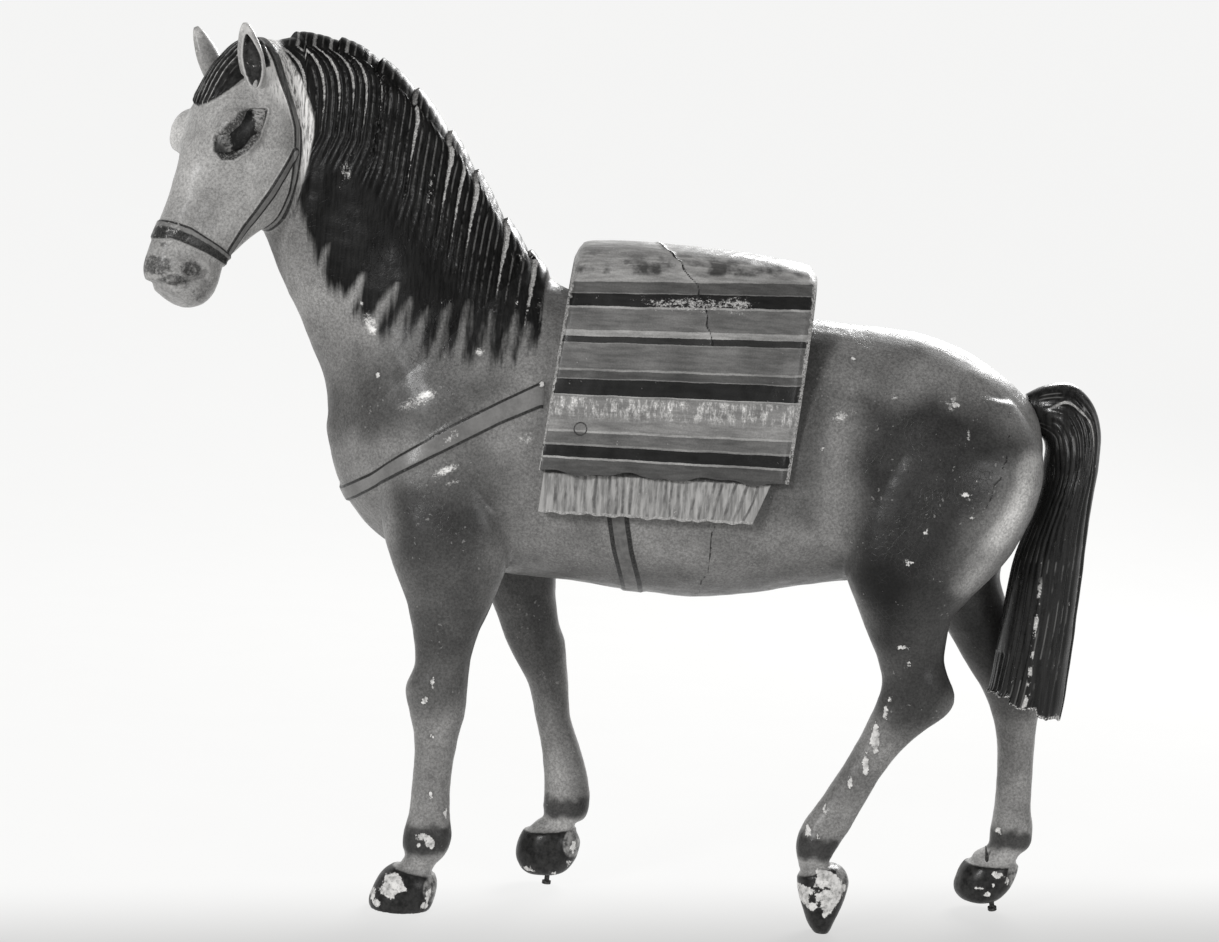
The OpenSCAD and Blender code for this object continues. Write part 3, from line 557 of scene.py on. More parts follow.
def lock_table():
    """For each row of heights, where the mane's grooves pass: (rows, places along the crest, x of each)."""
    crest = np.array(CREST, float)
    lengths = CREST_START + np.r_[0, np.cumsum(np.hypot(*np.diff(crest, axis=0).T))]
    s = np.arange(CREST_START, lengths[-1] + 12, .5)
    cx, cz = np.interp(s, lengths, crest[:, 0]), np.interp(s, lengths, crest[:, 1])
    cx[s > lengths[-1]] += (s[s > lengths[-1]] - lengths[-1])
    slope = np.gradient(cz, cx)
    slope = np.convolve(np.pad(slope, 20, "edge"), np.ones(41) / 41, "valid")
    lean = np.clip(1 / np.maximum(-slope, .01), 0, 2.1)
    bend = np.interp(s, [8, 60], [8.7, 3.7])
    rows = np.arange(262, 432, .5)
    front = np.clip(1 - s / 110, 0, 1)
    t = np.clip(cz - rows[:, None], 0, None)
    x = cx + bend * lean * (1 - np.exp(-t / bend)) - .09 * t - .4 * front * np.clip(t - 42, 0, None)
    return rows, s, np.maximum.accumulate(x, axis=1), cz, 1 / np.hypot(1, slope)


LOCK_ROWS, LOCK_S, LOCK_X, LOCK_TOP, LOCK_PACK = lock_table()


def mane_place(p):
    """(place of the lock's root along the crest, drop below the crest, how closely the locks are packed)."""
    x, z = p[:, 0], p[:, 2]
    row = np.clip(np.round((z - LOCK_ROWS[0]) * 2).astype(int), 0, len(LOCK_ROWS) - 1)
    s = np.zeros(len(p))
    order = np.argsort(row, kind="stable")
    starts = np.searchsorted(row[order], np.arange(len(LOCK_ROWS) + 1))
    for k in range(len(LOCK_ROWS)):
        mine = order[starts[k]:starts[k + 1]]
        if len(mine):
            s[mine] = np.interp(x[mine], LOCK_X[k], LOCK_S)
    drop = np.interp(s, LOCK_S, LOCK_TOP) - z
    return s, drop, np.interp(s, LOCK_S, LOCK_PACK)


def mane_fields(p):
    """(inside distance from the mane's sides, height above its foot)."""
    x, y, z = p.T
    sides = np.minimum(x - curve(z, MANE_FRONT), MANE_REAR - x)
    foot = z - curve(x, MANE_FOOT)
    for ax, az, bx, bz, half in MANE_GAPS:
        t = (az - z) / (az - bz)                          # 0 at the apex, 1 at the open end
        gap = np.abs(x - ax - (bx - ax) * t) - half * np.clip(t, 0, 1.3)
        foot = np.where(t > -.15, np.minimum(foot, gap * 2.2 + 30 * np.clip(-t, 0, 1)), foot)
    return np.where(z > 255, sides, -60), foot


def near_line(s, places):
    places = np.array(places, float)
    return np.abs(s[:, None] - places).min(1)


def mane_relief(p):
    sides, foot = mane_fields(p)
    s, drop, pack = mane_place(p)
    places = np.array(LOCKS + [172.0])
    k = np.clip(np.searchsorted(places, s, side="right") - 1, 0, len(places) - 2)
    f = (s - places[k]) / (places[k + 1] - places[k])
    round_top = np.sqrt(np.clip(1 - (2 * f - 1) ** 2, 0, 1))
    fade = step(62, 40, drop) * step(-3, 1, sides) * step(-2, 6, foot)
    big = np.array(CREST_LUMPS, float)
    j = np.clip(np.searchsorted(big, s, side="right") - 1, 0, len(big) - 2)
    g = (s - big[j]) / (big[j + 1] - big[j])
    up = 2.3 * (1 - g ** 2) * step(16, 2, drop) * step(-12, 4, s)
    deep = np.exp(-(near_line(s, MAJOR_LOCKS) * pack / 1.1) ** 2)
    ledge = .9 * step(-1.5, 1.5, sides) * step(285, 310, p[:, 2])
    shallow = step(-2, 8, drop) * .7 + .3
    return fade * ((.85 * (round_top - .6) - .6 * deep) * shallow + up) + ledge


def smallest(*fields):
    return np.minimum.reduce(fields)


def tack_bands(p):
    """Inside distances of the straps: breast, girth, crown, cheek and nose."""
    x, y, z = p.T
    hx, hy, hz = to_head(p).T
    far = np.full(len(p), -30.0)
    breast = smallest(curve(x, BREAST_UPPER) - z, z - curve(x, BREAST_LOWER)) * .84
    breast = np.where((x < -38) & (z < 280), breast, far)
    girth = np.where((z < 212) & (np.abs(x - 6) < 25), GIRTH_HALF - np.abs(x - curve(z, GIRTH)), far)
    on_head = (x < -140) & (z > 280)
    crown = smallest(hx - curve(hz, STRAP_FRONT), curve(hz, STRAP_FRONT) + STRAP_WIDE - hx)
    crown = np.where(on_head, crown, far)
    cheek = np.where(on_head & (hz > 311), 2.3 - path_distance(hx, hz, CHEEK_STRAP), far)
    nose = smallest(curve(hx, NOSE_UPPER) - hz, hz - curve(hx, NOSE_LOWER)) * .92
    nose = np.where(on_head & (hz > 300) & (hx < -29), nose, far)
    return breast, girth, crown, cheek, nose


def forelock_inside(p):
    hx, hy, hz = to_head(p).T
    inside_z = hz - curve(np.abs(hy), FORELOCK_FOOT)
    field = smallest(inside_z, (-19 - hx) * 1.0)
    return np.where((p[:, 0] < -150) & (hz > 380), field, -30)


def eye_inside(p):
    hx, hy, hz = to_head(p).T
    field = inside(hx, hz, EYE_OUTLINE)
    return np.where((np.abs(hy) > 8) & (p[:, 0] < -150) & (hz > 350), field, -30)


def head_relief(p):
    hx, hy, hz = to_head(p).T
    side = step(4, 12, np.abs(hy))
    at = lambda cx, cz, rx, rz: mound(np.hypot((hx - cx) / rx, (hz - cz) / rz), 1)
    out = 1.8 * side * at(-17, 348, 22, 26)                                       # cheek
    out -= 1.3 * side * mound(path_distance(hx, hz, [(-46, 357), (-44, 332)]), 11)   # below the eye
    out -= 1.3 * mound(np.abs(hx - curve(hz, STRAP_FRONT) - 9), 6) * step(330, 350, hz) * step(425, 405, hz)
    eye = eye_inside(p)
    out += .7 * np.exp(-((eye + 1.4) / 1.1) ** 2) - 1.1 * step(-.6, 1.0, eye) - 2.6 * step(.2, 4.5, eye)
    out += .8 * side * mound(path_distance(hx, hz, [(-49, 368), (-43, 384), (-32, 391)]), 6)   # brow
    out += 1.3 * side * at(-58, 309, 8, 6.5) - 2.4 * side * at(-55, 307, 4, 2.6)   # nostril
    out -= 1.8 * mound(path_distance(hx, hz, [(-68, 299.5), (-62, 299), (-53, 302), (-46, 306)]), 2.6)   # mouth
    out += 1.5 * at(-50, 296, 12, 9)                                              # chin
    out -= .8 * side * mound(path_distance(hx, hz, [(-66, 318), (-52, 312), (-44, 303)]), 4)
    out += 1.4 * side * mound(np.hypot(hx + 35, hz - 312), 3)                     # bit
    on = np.where((p[:, 0] < -140) & (hz > 284), 1.0, 0)
    lock = forelock_inside(p)
    wave = np.abs(np.sin(hy / (3.3 + np.clip(hz - 388, 0, 40) * .03) * math.pi))
    out += step(-.8, .8, lock) * (1.5 + .9 * (np.sqrt(wave) - .6))
    return out * on


def tack_relief(p):
    return sum(h * step(-.7, .7, band) for h, band in zip((1.2, .9, .8, .7, .9), tack_bands(p)))


def leg_relief(p, name):
    x, y, z = p.T
    bx, bz, bs, half, cx, cz, cs = LEG_MARKS[name]
    hoof = cz + cs * (x - cx) - z
    out = .7 * step(-.9, .5, hoof) - .8 * mound(hoof + 2, 2.6)
    if name.startswith("foreleg"):
        kx, kz = (-90, 112) if name == "foreleg_left" else (-33, 120)
        out += .8 * mound(np.hypot((x - kx) / 12, (z - kz) / 11), 1) - .5 * mound(np.hypot(x - kx - 4, z - kz + 20), 12)
    else:
        kx, kz = (150, 122) if name == "hind_leg_left" else (208, 118)
        out += .9 * mound(np.hypot((x - kx) / 15, (z - kz) / 13), 1) - .9 * mound(np.hypot(x - kx - 6, z - kz - 18), 12)
    return out


def chip_field(p, leg_side=0):
    """Inside distance of the spots where paint is gone. leg_side is the y of the leg's middle."""
    x, y, z = p.T
    best = np.full(len(p), -30.0)
    for side, cx, cz, rx, rz in CHIPS:
        size = min(rx, rz)
        field = (1 - np.hypot((x - cx) / rx, (z - cz) / rz)) * size * 1.2
        seen = y < (LEG if side == 1 else (-LEG if z.max() < 161 else -8))
        best = np.maximum(best, np.where(seen & ((side == 1) == (leg_side > 0)), field, -30))
    if leg_side < 0:
        fore = inside(x, z, FORE_HOOF_LOSS)
        hind = inside(x, z, HIND_HOOF_LOSS)
        for cx, cz, rx, rz in HIND_HOOF_KEPT:
            hind = np.minimum(hind, (np.hypot((x - cx) / rx, (z - cz) / rz) - 1) * min(rx, rz))
        best = np.maximum(best, np.where(y < -LEG, np.maximum(fore, hind), -30))
    return best


def tone_field(p, name):
    """How light the body paint is: 1 is its plain grey. Besides the sprayed dapples it holds painted shade under the
    belly, beside the saddle block and down the far foreleg's rear, and painted highlights on the far brow and the far
    foreleg's front.
    """
    x, y, z = p.T
    tone = np.ones(len(p))
    near = step(7, -7, y)
    for patch, left, blur, side in DARK_PATCHES:
        where = near if side < 0 else 1 - near
        tone *= 1 - (1 - left) * step(-blur, blur, inside(x, z, patch) + 4 * ripple(p, 34, 61)) * where
    if name in ("trunk", "neck"):
        tone *= 1 + 1.9 * mound(path_distance(x, z, [(197, 238), (196, 225), (190, 211), (180, 196), (167, 178)]), 9) * near
        tone *= 1 + .42 * mound(np.hypot(x + 146, z - 296), 34)
        tone *= 1 + .50 * mound(np.hypot((x - 96) / 36, (z - 208) / 36), 1)
        # painted shade under the belly
        tone *= 1 - .30 * step(186, 168, z) * step(-60, -40, x) * step(112, 96, x)
        tone *= 1 - .10 * step(288, 270, z) * step(80, 96, x) * step(140, 120, x)
        tone *= 1 - .20 * step(200, 150, x) * step(276, 290, z) * step(70, 95, x)
    elif name == "head":
        hx, hy, hz = to_head(p).T
        tone *= 1 - .45 * step(-10, -3, hx) * step(352, 338, z)
        # painted highlight on the far brow
        tone *= 1 + .75 * step(4, 12, hy) * mound(np.hypot((hx + 44) / 14, (hz - 373) / 18), 1)
    else:
        bx, bz, bs, half, cx, cz, cs = LEG_MARKS[name]
        # painted light down the far foreleg's front and painted shade down its rear
        if name == "foreleg_right":
            middle = -18 - (z - 60) * .30
            tone *= 1 - .45 * mound(x - middle - 6, 9) + .25 * mound(x - middle + 7, 8)
        tone *= 1 + (.24 if name == "hind_leg_left" else .40) * step(140, 90, z)
        if name == "hind_leg_left":
            tone *= 1 - .24 * mound(np.hypot((x - 158) / 26, (z - 120) / 26), 1)
        band = half - np.abs(z - bz - bs * (x - bx))
        tone *= 1 - .80 * step(-2.5, 2.0, band + 1.4 * ripple(p, 7, 12))
        pastern = smallest(bz + bs * (x - bx) - half - z, z - cz - cs * (x - cx))
        tone *= 1 + .35 * step(-1, 2, pastern)
    return tone


def paint_fields(obj, name):
    mesh = obj.data
    p = get_points(mesh)
    hx, hy, hz = to_head(p).T
    sides, foot = mane_fields(p)
    s, drop, pack = mane_place(p)
    breast, girth, crown, cheek, nose = tack_bands(p)
    put = lambda key, values: write_field(mesh, key, values)
    put("tone", tone_field(p, name))
    put("mane_sides", sides)
    put("mane_foot", foot)
    put("hair", near_line(s, LOCKS) * pack)
    put("lock", near_line(s, MAJOR_LOCKS) * pack)
    put("drop", drop)
    put("rubbed", sum(mound(np.hypot((p[:, 0] - cx) / rx, (p[:, 2] - cz) / rz), 1)
                      for cx, cz, rx, rz in ((-141, 361, 7, 17), (-56, 321, 8, 9), (-88, 300, 5, 6), (-100, 352, 4, 20))))
    put("breast", breast)
    put("girth", girth)
    put("crown", crown)
    put("strap_at", np.where(p[:, 0] < -140, hx - curve(hz, STRAP_FRONT), -30))
    # where the pale scuffs and the painted highlights lie
    scuff_and_highlight = np.zeros(len(p))
    for cx, cz, long, wide, slope, strength in SCUFFS_AND_PAINTED_HIGHLIGHTS:
        c, s_ = math.cos(math.radians(slope)), math.sin(math.radians(slope))
        u, v = (p[:, 0] - cx) * c + (p[:, 2] - cz) * s_, (p[:, 2] - cz) * c - (p[:, 0] - cx) * s_
        scuff_and_highlight = np.maximum(scuff_and_highlight, strength * mound(np.hypot(u / long, v / wide), 1))
    put("scuff_and_highlight", scuff_and_highlight * (p[:, 1] < -8))
    put("crown_height", hz)
    put("cheek", cheek)
    put("nose", nose)
    put("nose_share", (hz - curve(hx, NOSE_LOWER)) / (curve(hx, NOSE_UPPER) - curve(hx, NOSE_LOWER)))
    put("nose_front", hx)
    put("forelock", forelock_inside(p))
    put("forelock_way", hy / (3.3 + np.clip(hz - 388, 0, 40) * .03))
    put("eye", eye_inside(p))
    patch = smallest(curve(p[:, 2], MANE_FRONT) - p[:, 0], hx - curve(hz, STRAP_FRONT) - STRAP_WIDE)
    put("patch", np.where((hz > 335) & (p[:, 0] < -120), patch, -30))
    smudge = np.zeros(len(p))
    for cx, cz, rx, rz, much in ((-54, 308, 10, 6.5, 1), (-68, 309, 9, 8, 1), (-61, 302, 12, 6, .95), (-48, 296, 13, 8, .45),
                                 (-66, 319, 6, 4, .5)):
        smudge = np.maximum(smudge, much * mound(np.hypot((hx - cx) / rx, (hz - cz) / rz), 1))
    put("smudge", smudge * (p[:, 0] < -150) * (hz > 284))
    leg = LEG_MARKS.get(name)
    if leg:
        put("hoof", leg[5] + leg[6] * (p[:, 0] - leg[4]) - p[:, 2])
        heel = {"foreleg_left": (-79.5, 12), "foreleg_right": (-13, 24), "hind_leg_left": (122, 30),
                "hind_leg_right": (216, 21)}[name]
        put("heel", np.hypot(p[:, 0] - heel[0], (p[:, 2] - heel[1]) * .7))
    else:
        put("hoof", np.full(len(p), -30.0))
        put("heel", np.full(len(p), 30.0))
    put("chip", chip_field(p, {"left": -LEG, "ight": LEG}.get(name[-4:], 0)))
    put("crack", smallest(*[path_distance(p[:, 0] + 1.2 * ripple(p, 9, 5), p[:, 2], c) for c in BODY_CRACKS])
        + np.where(p[:, 1] > 0, 30, 0))


for name, obj in figure.items():
    mesh = obj.data
    p, out = get_points(mesh), read_vectors(mesh, "out")
    out /= np.linalg.norm(out, axis=1)[:, None]
    if name in ("neck", "head"):
        inner = np.ones(len(p))
        for plane_of in (beyond_head_cut, beyond_neck_cut):
            inner *= (plane_of(p - [.4, 0, .4]) == plane_of(p + [.4, 0, .4]))
        p = smooth(p, get_edges(mesh), 3, inner)
    relief = tack_relief(p)
    if name in ("trunk", "neck"):
        relief += mane_relief(p)
    if name in ("neck", "head"):
        relief += head_relief(p)
    if name in LEG_MARKS:
        relief += leg_relief(p, name)
    paint_fields(obj, name)
    q = p + out * relief[:, None]
    if name in LEG_MARKS:
        q[:, 2] = np.maximum(q[:, 2], 0)
    set_points(mesh, q)
    shade_smooth(mesh)


# --- Ears and eyes --------------------------------------------------------------------------
EAR_PLACE, EAR_LEAN = (-25.5, 17, 398), (-13, -22)
EAR_TURN = {-1: 55, 1: 10}      # the near ear is turned further forwards
# height, half width, half depth
EAR_STAGES = [(-4, 4, 3.5), (2, 5.6, 4.5), (9, 6.5, 4.6), (17, 6.2, 4.2), (25, 4.2, 3), (29, 2.6, 2), (31, 1.2, 1)]


def ear(side):
    n = 72
    heights = np.arange(-4, 31.01, .5)
    stages = np.array(EAR_STAGES, float)
    rows = refine(stages, 24)
    wide, deep = np.interp(heights, rows[:, 0], rows[:, 1]), np.interp(heights, rows[:, 0], rows[:, 2])
    a = np.linspace(0, 2 * math.pi, n, endpoint=False)
    x, y = np.outer(wide, np.cos(a)), np.outer(deep, np.sin(a))
    z = np.repeat(heights[:, None], n, 1)
    # the hollow is an almond on the side that faces forwards
    middle = .24 * wide[:, None]
    reach = .66 * wide[:, None] * np.sqrt(np.clip(1 - ((z - 13) / 13.5) ** 2, 1e-6, 1))
    hollow = (reach - np.abs(x - middle)) * .8
    faces_out = (y * side > 0)
    field = np.where(faces_out, hollow, -6)
    y -= side * faces_out * 3.6 * step(-.4, 2.0, hollow)
    points = np.stack([x, y, z], 2).reshape(-1, 3)
    turn = (Matrix.Rotation(math.radians(EAR_LEAN[1]), 3, "Y") @ Matrix.Rotation(math.radians(side * EAR_LEAN[0]), 3, "X")
            @ Matrix.Rotation(math.radians(side * EAR_TURN[side]), 3, "Z"))
    local = points @ np.array(turn).T + np.array([EAR_PLACE[0], side * EAR_PLACE[1], EAR_PLACE[2]])
    obj = new_object("ear_left" if side < 0 else "ear_right", from_head(local), ring_faces(len(heights), n))
    write_field(obj.data, "hollow", field.ravel())
    write_field(obj.data, "height", z.ravel())
    shade_smooth(obj.data, 60)
    return obj


EYE_CORNERS = np.array([(-45.5, -16.2, 364.5), (-23.5, -23.2, 386)])     # left eye, in the head's own frame
EYE_HALF_HEIGHT, EYE_BULGE = 7.6, 3.6


def eye(side):
    n, rows = 64, 33
    front, rear = EYE_CORNERS * [1, -side, 1]
    u = rear - front
    half = np.linalg.norm(u) / 2
    u /= np.linalg.norm(u)
    w = np.array([-.30, side * .95, .10])
    w -= u * (w @ u)
    w /= np.linalg.norm(w)
    v = np.cross(w, u) * side
    lat = np.linspace(-.5, .5, rows + 2)[1:-1] * math.pi
    lon = np.linspace(0, 2 * math.pi, n, endpoint=False)
    along = np.repeat(np.sin(lat)[:, None], n, 1)
    ring = np.cos(lat)[:, None] ** 1.7
    across, outward = ring * np.cos(lon), ring * np.sin(lon)
    centre = (front + rear) / 2 + w * 1.3
    p = (centre + along[..., None] * half * u + across[..., None] * EYE_HALF_HEIGHT * v
         + outward[..., None] * EYE_BULGE * w)
    obj = new_object("eye_left" if side < 0 else "eye_right", from_head(p.reshape(-1, 3)), ring_faces(rows, n))
    write_field(obj.data, "along", along.ravel())
    write_field(obj.data, "across", across.ravel())
    shade_smooth(obj.data, 60)
    return obj


ears = [ear(-1), ear(1)]
eyes = [eye(-1), eye(1)]


# --- The saddle block with its hanging fringe -----------------------------------------------
# foot x, top x, foot z, top z, half width, as in the CAD source
BLOCK = [(-39, -28, 222, 325, 58), (-37.6, -25, 222, 330.5, 60.2), (-36, -20, 222, 333, 61), (-12, 4, 222, 334, 62),
         (20, 32, 222, 333, 62), (50, 60, 222, 331, 61.5), (74, 84, 222, 327.5, 60), (78.5, 88.5, 222, 325.6, 58.8),
         (81, 91, 222, 322, 57)]
FRINGE = [(-37, -29, 202, 294, 56.1), (-35.5, -27.5, 202, 294, 57.8), (-34, -26, 202, 294, 58.6),
          (20, 26, 202, 294, 60.6), (61, 66, 202, 294, 60.2), (63, 68, 202, 294, 59.0)]
FRINGE_LINES = [-30.3, -25.5, -21, -16, -11, -5, -1, 2.3, 5.9, 10, 14.1, 17.2, 21.9, 25, 28.1, 30.7, 34.5, 38.4, 41.5,
                44.6, 50.3, 55, 59.6]
FIRST_LINE_Z, LAST_LINE_Z = 313, 228.6      # top and bottom light lines of the block's side, at its front
BLOCK_CRACK = [(10, 336), (20, 328), (30, 316), (36, 305), (38, 295), (41, 286)]
PEG_PLACES = [(-20, 243)]


def arch(sections, spacing, turns):
    """(points in rows, rows) of a solid arch over the sections."""
    s = np.array(sections, float)
    fine = refine(s, 12)
    run = np.r_[0, np.cumsum(np.abs(np.diff(fine[:, 0])) + .35 * np.abs(np.diff(fine[:, 3])))]
    at = np.linspace(0, run[-1], int(run[-1] / spacing) + 1)
    fine = np.stack([np.interp(at, run, fine[:, k]) for k in range(5)], 1)
    a = np.linspace(0, math.pi, 2001)
    up, out = np.sin(a) ** .75, np.sign(np.cos(a)) * np.abs(np.cos(a)) ** .5
    y, z = out * (1 - .14 * up) * 60, up * (sections[0][3] - sections[0][2])
    length = np.r_[0, np.cumsum(np.hypot(np.diff(y), np.diff(z)))]
    a = np.interp(np.linspace(0, length[-1], turns), length, a)
    up, out = np.sin(a) ** .75, np.sign(np.cos(a)) * np.abs(np.cos(a)) ** .5
    up[[0, -1]] = 0
    rows = [np.stack([f[0] + (f[1] - f[0]) * up, -f[4] * out * (1 - .14 * up), f[2] + (f[3] - f[2]) * up], 1) for f in fine]
    return np.array(rows)


def arch_object(name, rows):
    count, n = rows.shape[:2]
    points = rows.reshape(-1, 3)
    obj = new_object(name, points, ring_faces(count, n))
    return obj


def saddle_block():
    rows = arch(BLOCK, .9, 330)
    p = rows.reshape(-1, 3)
    obj = arch_object("saddle_block", rows)
    out = normals_of(obj.data)
    x, y, z = p.T
    top = FIRST_LINE_Z + (x + 28) * .043
    share = (top - z) / (top - LAST_LINE_Z)
    count, n = rows.shape[:2]
    row = np.repeat(np.arange(count), n)
    rim = np.minimum(row, count - 1 - row) * .9
    crack = path_distance(x + .8 * ripple(p, 8, 21), z, BLOCK_CRACK) + np.where(y > 0, 40, 0)
    side = step(20, 40, np.abs(y))
    relief = .18 * ripple(p, 22, 22) + .08 * ripple(p, 7, 23) - .5 * np.exp(-(crack / .7) ** 2)
    relief += .25 * side * (mound(np.abs(share - 1.0) * 84, 2.2) - mound(np.abs(share) * 84, 2))
    hem = step(6, 0, z - 222)
    p = p + out * (relief * step(0, 3, rim))[:, None]
    p[:, 2] += hem * (1.1 * np.sin(x / 6.5 + 1) + .5 * np.sin(x / 2.7)) * step(0, 4, rim)
    set_points(obj.data, p)
    write_field(obj.data, "share", share)
    write_field(obj.data, "rim", rim)
    write_field(obj.data, "crack", crack)
    write_field(obj.data, "top", np.abs(out[:, 2]))
    write_field(obj.data, "face", np.abs(out[:, 0]))
    peg = np.full(len(p), 30.0)
    for px, pz in PEG_PLACES:
        peg = np.minimum(peg, np.hypot(x - px, z - pz))
    write_field(obj.data, "peg", peg)
    worn = np.zeros(len(p))
    for cx, cz, rx, rz in ((30, 305, 50, 7), (52, 306, 16, 9), (50, 243, 5, 4), (60, 230, 3, 2)):
        worn = np.maximum(worn, mound(np.hypot((x - cx) / rx, (z - cz) / rz), 1))
    write_field(obj.data, "worn", worn * (y < 0))
    shade_smooth(obj.data, 50)
    return obj


def saddle_fringe():
    rows = arch(FRINGE, .8, 260)
    obj = arch_object("saddle_fringe", rows)
    p, out = rows.reshape(-1, 3), normals_of(obj.data)
    x, y, z = p.T
    wobble = x + .5 * ripple(p * [1, 0, 1], 14, 31)
    lines = near_line(wobble, FRINGE_LINES)
    shown = step(226, 222, z)
    relief = -.4 * np.exp(-(lines / .8) ** 2) + .10 * ripple(p, 6, 32)
    p = p + out * (relief * shown * step(.6, .9, np.abs(out[:, 1])))[:, None]
    p[:, 2] += step(6, 0, z - 202) * (.25 * np.sin(x / 3.1) + .3 * np.sin(x / 1.3))
    p[:, 0] += 7.0 * np.clip((z - 202) / 20, 0, 1) * step(20, 60, x)      # the rear end leans backwards
    set_points(obj.data, p)
    write_field(obj.data, "lines", lines)
    write_field(obj.data, "drop", z - 202)
    write_field(obj.data, "end", np.minimum(x + 37, 68 - x))
    shade_smooth(obj.data, 50)
    return obj


block, fringe = saddle_block(), saddle_fringe()


# --- The tail -------------------------------------------------------------------------------
TAIL = [
    (200, 269.5, 208, 250, 7), (208.5, 274, 211, 246, 11), (220, 276, 212, 241, 14), (228, 272, 211.5, 234, 15.5),
    (234, 264, 211, 225, 16.5), (237.5, 252, 208.5, 214, 17), (237.5, 236, 204, 200, 17.5),
    (235.5, 215, 199.8, 186, 17.5), (234, 190, 197.5, 171, 17.5), (232.5, 165, 195.6, 154, 17.5),
    (231, 140, 193.5, 134, 17.5), (229.5, 120, 191.5, 119, 17), (228, 108, 190.5, 114, 17)]
# How far round the tail each groove lies, from its rear edge, in degrees, and how deep it is
TAIL_GROOVES = [(9, .4), (50, .5), (60, .8), (71, .5), (83, .9), (94, .5), (104, .8), (115, .5),
                (126, .9), (138, .6), (150, .8), (163, .6), (175, .8)]


def tail():
    n = 220
    s = np.array([t + (0, 0, 0) for t in TAIL], float)
    fine = refine(s, 14)
    middle = np.stack([(fine[:, 0] + fine[:, 2]) / 2, (fine[:, 1] + fine[:, 3]) / 2], 1)
    run = np.r_[0, np.cumsum(np.hypot(*np.diff(middle, axis=0).T))]
    at = np.linspace(0, run[-1], int(run[-1] / .9) + 1)
    fine = np.stack([np.interp(at, run, fine[:, k]) for k in range(5)], 1)
    a = np.linspace(0, 2 * math.pi, n, endpoint=False)
    along, across = keep_sign(np.cos(a), .92), keep_sign(np.sin(a), .92)
    x = (fine[:, :1] + fine[:, 2:3]) / 2 + (fine[:, :1] - fine[:, 2:3]) / 2 * along
    y = fine[:, 4:5] * across
    z = (fine[:, 1:2] + fine[:, 3:4]) / 2 + (fine[:, 1:2] - fine[:, 3:4]) / 2 * along
    rows = np.stack([x, y, z], 2)
    count = len(fine)
    obj = new_object("tail", rows.reshape(-1, 3), [f[::-1] for f in ring_faces(count, n)])
    p, out = rows.reshape(-1, 3), normals_of(obj.data)
    place = np.repeat(at, n)
    angle = np.tile(np.degrees(a), count)
    round_way = np.where(angle > 180, 360 - angle, angle)
    sway = 5 * np.sin(place / 38 + 1) + 2.5 * np.sin(place / 15)
    turned = np.clip(round_way + sway * np.sin(np.radians(round_way)), 0, 180)
    arc = np.interp(place, [0, 30, run[-1]], [.16, .30, .30])            # millimetres for a degree
    relief = np.zeros(len(p))
    strand = np.full(len(p), 50.0)
    for degrees, deep in TAIL_GROOVES:
        d = np.abs(turned - degrees) * arc
        relief -= deep * np.exp(-(d / .9) ** 2)
        strand = np.minimum(strand, d)
    lobe_at = np.interp(place, [0, 12, 30, 60, 95, run[-1]], [100, 62, 42, 34, 24, 20])
    lobe = (round_way - lobe_at) * arc
    relief -= 1.5 * np.exp(-(lobe / 1.1) ** 2) * step(4, 14, place)
    relief += .7 * mound(np.abs(turned - 14) * arc, 5) + .15 * ripple(p, 18, 41)
    fade = step(0, 22, place) * (1 - .8 * step(206, 196, p[:, 0]) * step(180, 240, p[:, 2]))
    near_body = step(150, 120, round_way)                                  # the side against the rump stays smooth
    p = p + out * (relief * fade * np.where(p[:, 2] > 140, near_body, 1))[:, None]
    hang = step(run[-1] - 14, run[-1], place)
    px = p[:, 0]
    tuft = np.where(px < 200, 5.5, np.where(px < 214, 2.2, -.5)) + .7 * np.cos(turned / 6)
    p[:, 2] += hang * tuft
    set_points(obj.data, p)
    write_field(obj.data, "strand", strand)
    write_field(obj.data, "lobe", lobe)
    write_field(obj.data, "round", (round_way - np.interp(place, [80, run[-1]], [105, 95])) * arc)
    write_field(obj.data, "place", place)
    write_field(obj.data, "near", np.where(angle > 180, 1.0, 0))
    write_field(obj.data, "end", run[-1] - place)
    shade_smooth(obj.data, 50)
    return obj


tail_piece = tail()


# --- Paints ---------------------------------------------------------------------------------
TINT = (1.0, .985, .962)


def shade(v):
    """Light sent back by a paint that shows as grey v of 255 in plain light."""
    v /= 255
    return ((v + .055) / 1.055) ** 2.4


